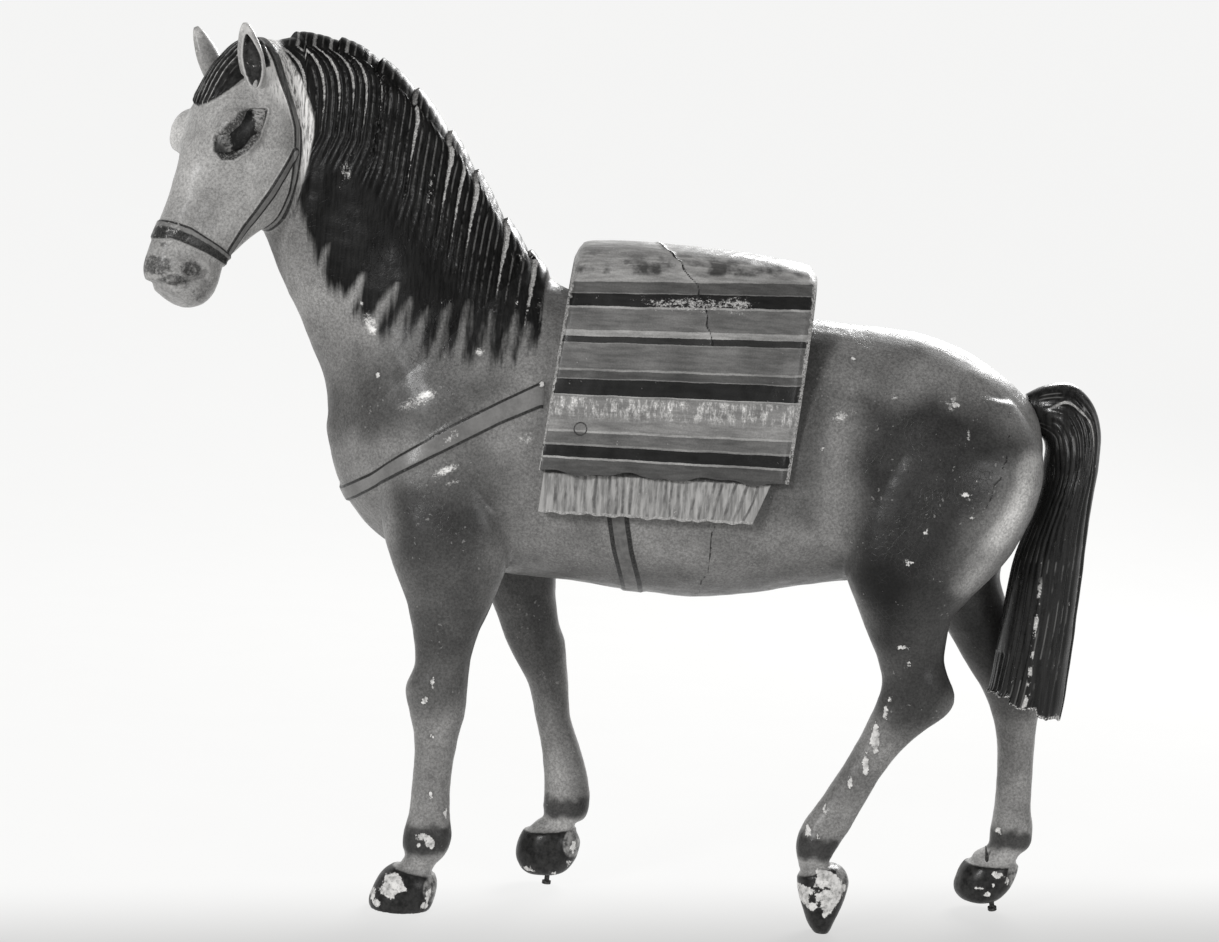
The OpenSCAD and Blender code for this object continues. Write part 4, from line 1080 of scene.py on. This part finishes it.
class Paint:
    """One material's nodes. Every value is a single grey number until surface() tints it."""

    def __init__(self, name):
        self.material = bpy.data.materials.new(name)
        self.material.use_nodes = True
        self.tree = self.material.node_tree
        self.tree.nodes.clear()
        place = self.tree.nodes.new("ShaderNodeTexCoord")
        self.place = self.tree.nodes.new("ShaderNodeVectorMath")
        self.place.operation = "SCALE"
        self.place.inputs["Scale"].default_value = 1 / MM
        self.tree.links.new(place.outputs["Object"], self.place.inputs[0])

    def feed(self, socket, value):
        if isinstance(value, (int, float)):
            socket.default_value = value
        else:
            self.tree.links.new(value, socket)

    def field(self, name):
        node = self.tree.nodes.new("ShaderNodeAttribute")
        node.attribute_name = name
        return node.outputs["Fac"]

    def math(self, operation, *values, clamp=False):
        node = self.tree.nodes.new("ShaderNodeMath")
        node.operation, node.use_clamp = operation, clamp
        for socket, value in zip(node.inputs, values):
            self.feed(socket, value)
        return node.outputs[0]

    def add(self, *values):
        total = values[0]
        for value in values[1:]:
            total = self.math("ADD", total, value)
        return total

    def times(self, *values):
        total = values[0]
        for value in values[1:]:
            total = self.math("MULTIPLY", total, value)
        return total

    def least(self, *values):
        total = values[0]
        for value in values[1:]:
            total = self.math("MINIMUM", total, value)
        return total

    def most(self, *values):
        total = values[0]
        for value in values[1:]:
            total = self.math("MAXIMUM", total, value)
        return total

    def rise(self, low, high, value, bottom=0.0, top=1.0):
        node = self.tree.nodes.new("ShaderNodeMapRange")
        node.interpolation_type = "SMOOTHSTEP"
        if low > high:
            low, high, bottom, top = high, low, top, bottom
        for key, v in (("From Min", low), ("From Max", high), ("To Min", bottom), ("To Max", top)):
            node.inputs[key].default_value = v
        self.feed(node.inputs["Value"], value)
        return node.outputs["Result"]

    def over(self, under, mask, value):
        """value laid over under where the mask is 1."""
        node = self.tree.nodes.new("ShaderNodeMix")
        self.feed(node.inputs[0], mask)
        self.feed(node.inputs[2], under)
        self.feed(node.inputs[3], value)
        return node.outputs[0]

    def stretched(self, scale, turn=(0, 0, 0)):
        node = self.tree.nodes.new("ShaderNodeMapping")
        node.inputs["Scale"].default_value = scale
        node.inputs["Rotation"].default_value = turn
        self.tree.links.new(self.place.outputs[0], node.inputs["Vector"])
        return node.outputs[0]

    def noise(self, size, detail=2.0, rough=.5, at=None):
        node = self.tree.nodes.new("ShaderNodeTexNoise")
        node.inputs["Scale"].default_value = 1 / size
        node.inputs["Detail"].default_value = detail
        node.inputs["Roughness"].default_value = rough
        self.tree.links.new(at or self.place.outputs[0], node.inputs["Vector"])
        return node.outputs["Fac"]

    def cells(self, size, feature="DISTANCE_TO_EDGE", at=None):
        node = self.tree.nodes.new("ShaderNodeTexVoronoi")
        node.feature = feature
        node.inputs["Scale"].default_value = 1 / size
        self.tree.links.new(at or self.place.outputs[0], node.inputs["Vector"])
        return node.outputs["Distance"]

    def ramp(self, value, stops):
        node = self.tree.nodes.new("ShaderNodeValToRGB")
        node.color_ramp.interpolation = "CONSTANT"
        elements = node.color_ramp.elements
        for i, (at, v) in enumerate(stops):
            e = elements[i] if i < 2 else elements.new(at)
            e.position, e.color = at, (v, v, v, 1)
        self.feed(node.inputs[0], value)
        return node.outputs["Color"]

    def surface(self, value, rough, height=None, bump=.3, coat=.12, coat_rough=.2, specular=.22, metal=0.0):
        """Ends the material. height is in millimetres."""
        shader = self.tree.nodes.new("ShaderNodeBsdfPrincipled")
        tint = self.tree.nodes.new("ShaderNodeVectorMath")
        tint.operation = "SCALE"
        tint.inputs[0].default_value = TINT
        self.feed(tint.inputs["Scale"], value)
        self.tree.links.new(tint.outputs[0], shader.inputs["Base Color"])
        self.feed(shader.inputs["Roughness"], rough)
        shader.inputs["Coat Weight"].default_value = coat
        shader.inputs["Coat Roughness"].default_value = coat_rough
        shader.inputs["Specular IOR Level"].default_value = specular
        shader.inputs["Metallic"].default_value = metal
        if height is not None:
            node = self.tree.nodes.new("ShaderNodeBump")
            node.inputs["Strength"].default_value = bump
            node.inputs["Distance"].default_value = MM
            self.feed(node.inputs["Height"], height)
            self.tree.links.new(node.outputs[0], shader.inputs["Normal"])
            self.tree.links.new(node.outputs[0], shader.inputs["Coat Normal"])
        end = self.tree.nodes.new("ShaderNodeOutputMaterial")
        self.tree.links.new(shader.outputs[0], end.inputs["Surface"])
        return self.material


def aged(p, value, blotch=.32, grain=.30):
    """Sprayed paint under old varnish: clouds, fine grain, tiny pale pinpricks and hair cracks."""
    value = p.times(value, p.rise(.25, .75, p.noise(28, 3, .6), 1 - blotch, 1 + blotch))
    value = p.times(value, p.rise(.28, .72, p.noise(1.25, 3, .75), 1 - grain, 1 + grain))
    prick = p.rise(.76, .82, p.times(p.noise(1.9, 1), p.rise(.35, .6, p.noise(17, 2), .75, 1.12)))
    value = p.over(value, p.times(prick, .5), shade(150))
    bent = p.tree.nodes.new("ShaderNodeVectorMath")
    bent.operation = "ADD"
    p.tree.links.new(p.place.outputs[0], bent.inputs[0])
    wander = p.tree.nodes.new("ShaderNodeTexNoise")
    wander.inputs["Scale"].default_value = .5
    p.tree.links.new(p.place.outputs[0], wander.inputs["Vector"])
    p.tree.links.new(wander.outputs["Color"], bent.inputs[1])
    net = p.times(p.rise(.05, .0, p.cells(3.4, at=bent.outputs[0])), p.rise(.5, .62, p.noise(24, 2)))
    return p.over(value, p.times(net, .35), shade(70)), net


def figure_paint(name, base, coat, specular=.22):
    p = Paint(name)
    value, net = aged(p, p.times(p.field("tone"), shade(base)), .28, .34)
    fine, mid, wide = p.noise(.9, 2, .7), p.noise(3.2, 3, .65), p.noise(9, 3, .6)
    wobble = lambda much: p.times(p.add(mid, -.5), much)

    # pale brushed patch between the bridle and the mane
    streak = p.noise(1.0, 4, .65, p.stretched((1.2, 1.2, .10), (.05, .28, 0)))
    high = p.rise(380, 396, p.field("crown_height"))
    brushed = p.over(p.rise(.3, .7, streak, shade(88), shade(150)), p.rise(350, 366, p.field("crown_height")),
                     p.rise(.33, .58, streak, shade(95), shade(238)))
    value = p.over(value, p.rise(-.8, .8, p.add(p.field("patch"), wobble(3))), brushed)
    ahead = p.times(p.rise(-10, -3.5, p.field("strap_at")), p.rise(.5, -.5, p.field("strap_at")), high)
    value = p.over(value, p.times(ahead, p.rise(.34, .52, streak)), shade(225))

    # mane
    spikes = p.noise(4.2, 3, .6, p.stretched((1.25, .6, .11), (0, .42, 0)))
    foot = p.add(p.field("mane_foot"), p.times(p.add(spikes, -.52), 22))
    hair_brush = p.noise(1.2, 3, .65, p.stretched((1, .5, .1), (0, .2, 0)))
    inner = p.rise(-5, 7, foot)
    mane = p.times(p.rise(-.6, .6, p.add(p.field("mane_sides"), wobble(1.5))), inner)
    black = p.rise(.3, .75, hair_brush, shade(10), shade(30))
    black = p.over(black, p.times(p.rise(.55, .15, p.field("hair")), p.rise(55, 20, p.field("drop")),
                                  p.rise(.38, .55, wide)), shade(96))
    taper = p.rise(46, 4, p.field("drop"))
    pale = p.rise(.0, .35, p.add(p.times(p.add(taper, .05), .95), p.times(p.field("lock"), -1.0), wobble(1.5)))
    pale = p.times(pale, p.rise(62, 46, p.field("drop")), p.rise(-1, 3, p.field("drop"), .4, 1))
    black = p.over(black, pale, p.rise(.3, .7, fine, shade(120), shade(200)))
    worn = p.rise(.72, .80, p.add(p.times(p.noise(2.2, 5, .8, p.stretched((1, 1, .45))), 1.0), p.times(p.field("rubbed"), .20)))
    black = p.over(black, worn, p.rise(.35, .65, fine, shade(110), shade(205)))
    value = p.over(value, mane, black)

    # forelock
    way = p.math("ABSOLUTE", p.add(p.math("FRACT", p.field("forelock_way")), -.5))
    lock = p.over(p.rise(.35, .7, mid, shade(16), shade(40)), p.times(p.rise(.40, .47, way), p.rise(.38, .5, wide), p.rise(-3.2, -2.2, p.field("forelock_way"))), shade(190))
    lock = p.over(lock, p.times(p.rise(.58, .68, wide), .6), shade(105))
    value = p.over(value, p.rise(-.4, .4, p.field("forelock")), lock)

    # tack: each strap has a dark line along both edges
    def strap(under, key, line, fill, fill_mask=1.0):
        band = p.field(key)
        under = p.over(under, p.times(p.rise(-.3, .3, band), fill_mask), fill)
        edge = p.times(p.rise(-.35, .1, band), p.rise(line + .35, line, band))
        return p.over(under, p.times(edge, p.rise(.2, .42, mid, .45, 1)), p.rise(.3, .7, fine, shade(30), shade(62)))

    clean = p.times(shade(118), p.rise(.3, .7, wide, .8, 1.2))
    value = strap(value, "breast", 1.0, clean, .75)
    value = strap(value, "girth", 2.0, p.times(shade(104), p.rise(.3, .7, mid, .75, 1.25)))
    value = strap(value, "crown", .85, p.over(p.times(shade(128), p.rise(.3, .7, streak, .7, 1.3)), high,
                                              p.rise(.3, .7, streak, shade(58), shade(104))))
    value = strap(value, "cheek", .95, p.times(shade(118), p.rise(.3, .7, mid, .82, 1.2)))
    share = p.add(p.field("nose_share"), wobble(.12))
    on_nose = p.rise(-.2, .2, p.field("nose"))
    dark = p.most(p.times(p.rise(.0, .06, share), p.rise(.66, .58, share)), p.rise(.84, .90, share))
    rubbed = p.times(p.rise(-52, -62, p.field("nose_front")), p.rise(.56, .66, p.noise(2.4, 4, .8)))
    nose = p.over(p.times(shade(120), p.rise(.3, .7, mid, .8, 1.25)), dark, p.rise(.3, .72, fine, shade(30), shade(70)))
    value = p.over(value, on_nose, p.over(nose, rubbed, shade(168)))

    # eye rim, nostrils and mouth
    eye = p.add(p.field("eye"), wobble(1.2))
    value = p.over(value, p.times(p.rise(-1.3, -.3, eye), p.rise(.3, .55, fine, .35, 1)), shade(62))
    smudge = p.rise(.30, .62, p.add(p.field("smudge"), p.times(p.add(mid, -.5), 1.0)))
    value = p.over(value, p.times(smudge, p.rise(.35, .55, p.noise(2.2, 3, .7), .3, .9)), p.rise(.3, .7, fine, shade(34), shade(96)))
    # pale scuffs in the varnish, and painted highlights where the lamps' glints fall
    brushed = p.noise(1.5, 4, .75, p.stretched((.55, 1, 1), (0, .4, 0)))
    scuff_and_sheen = p.add(p.field("scuff_and_highlight"), p.times(p.add(fine, -.5), 1.1), p.times(p.add(brushed, -.5), 1.5))
    value = p.over(value, p.times(p.rise(.34, 1.15, scuff_and_sheen), p.rise(.02, .4, p.field("scuff_and_highlight"))), shade(250))

    # hooves
    hoof = p.times(p.rise(-.5, .5, p.add(p.field("hoof"), wobble(1.6))), p.rise(4.0, 5.2, p.add(p.field("heel"), wobble(2))))
    value = p.over(value, hoof, p.rise(.3, .7, mid, shade(16), shade(48)))
    heel = p.times(p.rise(-.5, .5, p.field("hoof")), p.rise(5.6, 4.6, p.field("heel")))
    value = p.over(value, heel, p.rise(.35, .65, mid, shade(60), shade(150)))

    # losses down to the pale ground, with a worn edge round them
    small = p.times(p.rise(.72, .745, p.noise(4.6, 4, .8)), p.rise(.5, .58, p.noise(40, 1)))
    chip = p.add(p.field("chip"), wobble(4.4), p.times(p.add(fine, -.5), 1.6))
    lost = p.most(p.rise(-.1, .25, chip), small)
    value = p.over(value, p.times(p.rise(-.9, -.1, chip), .35), shade(62))
    value = p.over(value, p.times(lost, p.rise(.30, .42, p.noise(1.6, 3, .8), .35, 1)), p.rise(.3, .7, mid, shade(165), shade(235)))
    crack = p.rise(.5, .15, p.add(p.field("crack"), wobble(.5)))
    value = p.over(value, crack, shade(38))

    rough = p.over(p.rise(.3, .7, p.noise(6, 4, .7), .30, .52), lost, .85)
    height = p.add(p.times(fine, .10), p.times(mid, .16), p.times(net, -.10), p.times(lost, -.35), p.times(crack, -.6))
    return p.surface(value, rough, height, .55, coat, .16, specular)


def ear_paint():
    p = Paint("ear_paint")
    value, net = aged(p, shade(158), .2)
    mid, fine = p.noise(2.6, 3, .65), p.noise(.8, 2)
    hollow = p.add(p.field("hollow"), p.times(p.add(mid, -.5), .8))
    value = p.over(value, p.rise(23, 29, p.field("height")), p.rise(.3, .7, mid, shade(150), shade(215)))
    value = p.over(value, p.times(p.rise(-.9, -.3, hollow), p.rise(.1, -.1, hollow)), shade(190))
    value = p.over(value, p.rise(-.1, .3, hollow), p.rise(.3, .7, mid, shade(30), shade(62)))
    edge = p.times(p.rise(.62, .67, p.noise(4, 4, .8)), .8)
    value = p.over(value, edge, shade(215))
    return p.surface(value, p.rise(.3, .7, mid, .35, .55), p.add(p.times(fine, .1), p.times(mid, .12)), .5)


def eye_paint():
    p = Paint("eye_paint")
    along, across = p.field("along"), p.field("across")
    mid, fine = p.noise(1.7, 3, .7), p.noise(.7, 3, .8)
    # a dark core leans across the almond; the front is mottled and the rear corner scratched pale
    core = p.math("ABSOLUTE", p.add(along, p.times(across, .3), -.04))
    value = p.rise(.35, .65, mid, shade(48), shade(128))
    value = p.over(value, p.times(p.rise(.30, .6, along), p.rise(.42, .54, p.noise(1.2, 3, .7, p.stretched((.4, 1, 1.6))))), shade(165))
    edge = p.times(p.rise(.68, .9, p.math("ABSOLUTE", across)), p.rise(.5, .2, along))
    value = p.over(value, p.times(p.most(edge, p.rise(-.62, -.85, along)), p.rise(.35, .5, mid)), shade(40))
    value = p.over(value, p.rise(.55, .42, p.add(core, p.times(p.add(mid, -.5), .3), p.times(p.add(fine, -.5), .25))),
                   p.rise(.45, .75, mid, shade(10), shade(44)))
    value = p.over(value, p.rise(.72, .76, p.noise(1.6, 2, .7)), shade(110))
    return p.surface(value, .45, p.times(mid, .12), .4, .06, .2)


# Share of the way down from the block's first pale line to its last, and the grey from there on
STRIPES = [(-.30, 150), (-.006, 142), (.004, 84), (.061, 112), (.068, 30), (.136, 150), (.150, 104), (.272, 150),
           (.304, 44), (.342, 122), (.350, 104), (.488, 142), (.500, 80), (.542, 118), (.549, 28), (.632, 158),
           (.643, 128), (.834, 152), (.846, 98), (.910, 128), (.919, 26), (.985, 150), (.999, 78)]


def blanket_paint():
    p = Paint("blanket_paint")
    fine, mid, wide = p.noise(.8, 3, .7), p.noise(3, 3, .65), p.noise(11, 3, .6)
    brush = p.noise(2.2, 3, .6, p.stretched((.16, 1, 1.1)))
    share = p.add(p.field("share"), p.times(p.add(p.noise(16, 2), -.5), .014), p.times(p.add(mid, -.5), .006))
    low, high = STRIPES[0][0], 1.2
    stops = [((at - low) / (high - low), shade(v)) for at, v in STRIPES]
    value = p.ramp(p.math("MULTIPLY_ADD", share, 1 / (high - low), -low / (high - low)), stops)
    # the broad pale stripe is dappled, and the top has dark cloudy patches
    dapple = p.times(p.rise(.645, .66, share), p.rise(.79, .72, share), p.rise(.46, .62, p.noise(2.6, 4, .7, p.stretched((1, 1, .28)))))
    value = p.over(value, p.times(dapple, .75), p.rise(.3, .7, fine, shade(165), shade(235)))
    value = p.times(value, p.rise(.3, .7, p.noise(20, 2), .84, 1.16))
    above = p.rise(-.02, -.05, share)
    value = p.over(value, p.times(above, p.rise(-.24, -.05, share), p.rise(.44, .64, wide)), shade(72))
    value = p.over(value, p.times(above, p.rise(.60, .68, brush), .45), shade(160))
    value = p.times(value, p.rise(.25, .75, brush, .74, 1.26), p.rise(.25, .75, fine, .84, 1.16))
    # painted shade on the block's end faces
    end = p.rise(.86, .95, p.field("face"))
    value = p.over(value, end, p.rise(.3, .7, mid, shade(70), shade(120)))
    rim = p.add(p.field("rim"), p.times(p.add(mid, -.5), 5))
    value = p.over(value, p.times(p.rise(3.2, 1.8, rim), p.rise(.36, .52, fine), p.rise(.95, .86, p.field("face"))),
                   p.rise(.3, .7, fine, shade(120), shade(205)))
    worn = p.rise(.62, .68, p.add(p.times(p.field("worn"), .24), p.times(p.noise(1.7, 4, .85, p.stretched((.6, 1, 1))), .84)))
    worn = p.times(worn, p.rise(.30, .20, share))
    small = p.times(p.rise(.67, .70, p.noise(3.4, 4, .8)), p.rise(.48, .56, p.noise(30, 1)))
    lost = p.most(worn, small)
    value = p.over(value, p.times(lost, .85), p.rise(.3, .7, fine, shade(140), shade(225)))
    ring = p.times(p.rise(2.5, 2.8, p.field("peg")), p.rise(3.5, 3.2, p.field("peg")))
    value = p.over(value, p.times(ring, p.rise(.3, .5, mid, .2, .9)), shade(45))
    crack = p.rise(.55, .2, p.add(p.field("crack"), p.times(p.add(mid, -.5), .5)))
    value = p.over(value, crack, shade(24))
    height = p.add(p.times(fine, .10), p.times(mid, .16), p.times(lost, -.22), p.times(crack, -.8), p.times(ring, -.2))
    rough = p.over(p.rise(.3, .7, wide, .34, .56), lost, .75)
    return p.surface(value, rough, height, .55, .12)


def fringe_paint():
    p = Paint("fringe_paint")
    fine, mid = p.noise(.8, 3, .7), p.noise(3, 3, .65)
    brush = p.noise(1.6, 3, .6, p.stretched((1, 1, .1)))
    value = p.rise(.25, .75, brush, shade(114), shade(176))
    line = p.rise(.95, .35, p.add(p.field("lines"), p.times(p.add(mid, -.5), .8)))
    value = p.over(value, p.times(line, p.rise(.38, .62, p.noise(7, 2), .2, .8)), shade(70))
    drop = p.add(p.field("drop"), p.times(p.add(mid, -.5), 1.6))
    value = p.over(value, p.times(p.rise(1.6, .9, drop), .8), p.rise(.3, .7, fine, shade(120), shade(195)))
    value = p.over(value, p.rise(18.6, 19.4, drop), shade(66))
    value = p.over(value, p.times(p.rise(1.6, .6, p.field("end")), .7), shade(170))
    lost = p.times(p.rise(.66, .69, p.noise(3.2, 4, .8)), p.rise(.45, .55, p.noise(24, 1)))
    value = p.over(value, lost, shade(205))
    height = p.add(p.times(fine, .1), p.times(line, -.3), p.times(lost, -.2))
    return p.surface(value, .55, height, .55, .08)


def tail_paint():
    p = Paint("tail_paint")
    fine, mid = p.noise(.8, 3, .7), p.noise(3, 3, .65)
    along = p.noise(2.0, 3, .6, p.stretched((1, 1, .05)))
    value = p.rise(.3, .75, along, shade(14), shade(40))
    groove = p.times(p.rise(.5, .1, p.field("strand")), p.rise(.50, .60, p.noise(14, 3)))
    value = p.over(value, groove, shade(98))
    lobe = p.math("ABSOLUTE", p.add(p.field("lobe"), p.times(p.add(mid, -.5), .5)))
    value = p.over(value, p.times(p.rise(.75, .35, lobe), p.rise(4, 12, p.field("place")), p.rise(.30, .42, along, .5, 1)),
                   p.rise(.3, .7, fine, shade(120), shade(210)))
    # a bare streak runs down the near side
    streak = p.math("ABSOLUTE", p.add(p.field("round"), p.times(p.add(p.noise(9, 3), -.5), 2.2)))
    wear = p.times(p.rise(1.1, .5, streak), p.rise(88, 98, p.field("place")), p.rise(.50, .56, p.noise(8, 4, .7)))
    foot = p.rise(1.8, .6, p.add(p.field("end"), p.times(p.add(mid, -.5), 3)))
    specks = p.rise(.70, .73, p.noise(2.0, 3, .8, p.stretched((1, 1, .35))))
    lost = p.most(p.times(wear, p.field("near")), p.most(p.times(foot, p.rise(.45, .55, fine)), specks))
    value = p.over(value, lost, p.rise(.3, .7, fine, shade(150), shade(225)))
    height = p.add(p.times(fine, .08), p.times(along, .3), p.times(lost, -.25))
    return p.surface(value, p.over(p.rise(.3, .7, mid, .2, .4), lost, .8), height, .5, .25, .12)


def wood():
    p = Paint("bare_wood")
    rings = p.noise(1.4, 4, .6, p.stretched((1, 1, .08)))
    value = p.rise(.3, .7, rings, shade(128), shade(188))
    return p.surface(value, .6, p.times(rings, .2), .4, 0.0)


def iron():
    p = Paint("rusty_iron")
    mid, fine = p.noise(1.2, 3, .7), p.noise(.4, 2)
    value = p.rise(.35, .7, mid, shade(40), shade(96))
    return p.surface(value, p.rise(.3, .7, mid, .45, .8), p.add(p.times(fine, .1), p.times(mid, .15)), .6, 0.0, metal=.6)


# --- Putting the pieces together ------------------------------------------------------------
def dress(obj, material, body, slot_name, *nodes):
    obj.data.materials.clear()
    obj.data.materials.append(material)
    obj.data.update()
    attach(obj, body)
    if nodes:
        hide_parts(*nodes)


body_paint, head_paint = figure_paint("body_paint", 122, .09), figure_paint("head_paint", 162, .05)
mane_paint, leg_paint = figure_paint("mane_paint", 120, .03, .1), figure_paint("leg_paint", 116, .08)
for name, obj in figure.items():
    material, slot_name = {"trunk": (body_paint, "body_paint"), "neck": (mane_paint, "mane_paint"),
                           "head": (head_paint, "head_paint")}.get(name, (leg_paint, "leg_paint"))
    dress(obj, material, "figure", slot_name, name)
for name, obj, look in (("ear_left", ears[0], ear_paint()), ("ear_right", ears[1], None)):
    dress(obj, look or bpy.data.materials["ear_paint"], "figure", "head_paint", name)
eye_look = eye_paint()
dress(eyes[0], eye_look, "figure", "eye_glass", "eye_left")
dress(eyes[1], eye_look, "figure", "eye_glass", "eye_right")
dress(block, blanket_paint(), "figure", "blanket_paint", "saddle", "saddle_pegs")
dress(fringe, fringe_paint(), "figure", "blanket_paint")
dress(tail_piece, tail_paint(), "tail", "tail_paint", "tail")

bare_wood, rusty_iron = wood(), iron()
HIDDEN_WOOD = ["neck_dowels", "head_dowel", "foreleg_left_dowel", "foreleg_right_dowel", "hind_leg_left_dowel",
               "hind_leg_right_dowel", "tail_peg"]
for obj in bpy.data.objects:
    base = obj.name.split(".")[0]
    if obj.type == "MESH" and (base in HIDDEN_WOOD or base.startswith("nail_")):
        look = bare_wood if base in HIDDEN_WOOD else rusty_iron
        for s in obj.material_slots:
            s.material = look
        if not obj.material_slots:
            obj.data.materials.append(look)


# --- Floor, light and camera ----------------------------------------------------------------
PAPER, PAPER_GLOW = .06, .88


def backdrop():
    """A pale floor that curves up into a wall far behind."""
    profile = [(-2.2, 0), (1.3, 0)] + [(1.3 + 1.2 * math.sin(a), 1.2 - 1.2 * math.cos(a))
                                       for a in np.linspace(.08, math.pi / 2, 20)] + [(2.5, 4.5)]
    n = len(profile)
    points = [(x * 1000, y * 1000, z * 1000 - .05) for x in (-5, 5) for y, z in profile]
    faces = [(i, i + 1, n + i + 1, n + i) for i in range(n - 1)]
    obj = new_object("backdrop", points, faces)
    obj.data.shade_smooth()
    p = Paint("backdrop_paper")
    value = p.times(PAPER, p.rise(.2, .8, p.noise(60, 3), .97, 1.03))
    obj.data.materials.append(p.surface(value, .9, None, coat=0.0, specular=.0))
    # the sheet falls off into shade towards its near edge
    split = p.tree.nodes.new("ShaderNodeSeparateXYZ")
    p.tree.links.new(p.place.outputs[0], split.inputs[0])
    depth = p.add(split.outputs["Y"], p.times(split.outputs["X"], -.28))
    glow = p.times(PAPER_GLOW, p.rise(-130, 60, depth, .62, 1))
    shader = p.tree.nodes["Principled BSDF"]
    shader.inputs["Emission Color"].default_value = (1, 1, .995, 1)
    p.feed(shader.inputs["Emission Strength"], glow)


def soft_light(name, place, aim, size, watts):
    data = bpy.data.lights.new(name, "AREA")
    data.shape, data.size, data.energy = "DISK", size, watts
    obj = bpy.data.objects.new(name, data)
    bpy.context.collection.objects.link(obj)
    obj.location = place
    obj.rotation_mode = "QUATERNION"
    obj.rotation_quaternion = (Vector(aim) - Vector(place)).to_track_quat("-Z", "Y")


def surroundings(strength):
    world = bpy.data.worlds.new("plain_light")
    world.use_nodes = True
    world.node_tree.nodes["Background"].inputs["Color"].default_value = (1, 1, 1, 1)
    world.node_tree.nodes["Background"].inputs["Strength"].default_value = strength
    bpy.context.scene.world = world


def camera():
    """A long lens a little above the figure's middle, turned slightly as the figure was pictured."""
    distance, rise, roll = 1.3, math.radians(4.5), math.radians(3.3)
    target = Vector((-.005, 0, .219))
    forward = Vector((0, math.cos(rise), -math.sin(rise)))
    right = Vector((1, 0, 0))
    up = right.cross(forward)
    right, up = (math.cos(roll) * right + math.sin(roll) * up, math.cos(roll) * up - math.sin(roll) * right)
    data = bpy.data.cameras.new("camera")
    data.lens, data.sensor_width = 76.8, 36
    obj = bpy.data.objects.new("camera", data)
    bpy.context.collection.objects.link(obj)
    obj.matrix_world = Matrix((right, up, -forward)).transposed().to_4x4()
    obj.location = target - forward * distance
    bpy.context.scene.camera = obj


backdrop()
surroundings(.15)
soft_light("key", (-1.2, -1.7, 1.0), (0, 0, .22), .45, 25)
soft_light("fill", (1.2, -1.6, .7), (0, 0, .22), .9, 12)
soft_light("top", (.6, 1.3, 1.15), (0, 0, .25), .8, 40)
camera()
bpy.context.scene.view_settings.view_transform = "Standard"

bpy.context.view_layer.update()
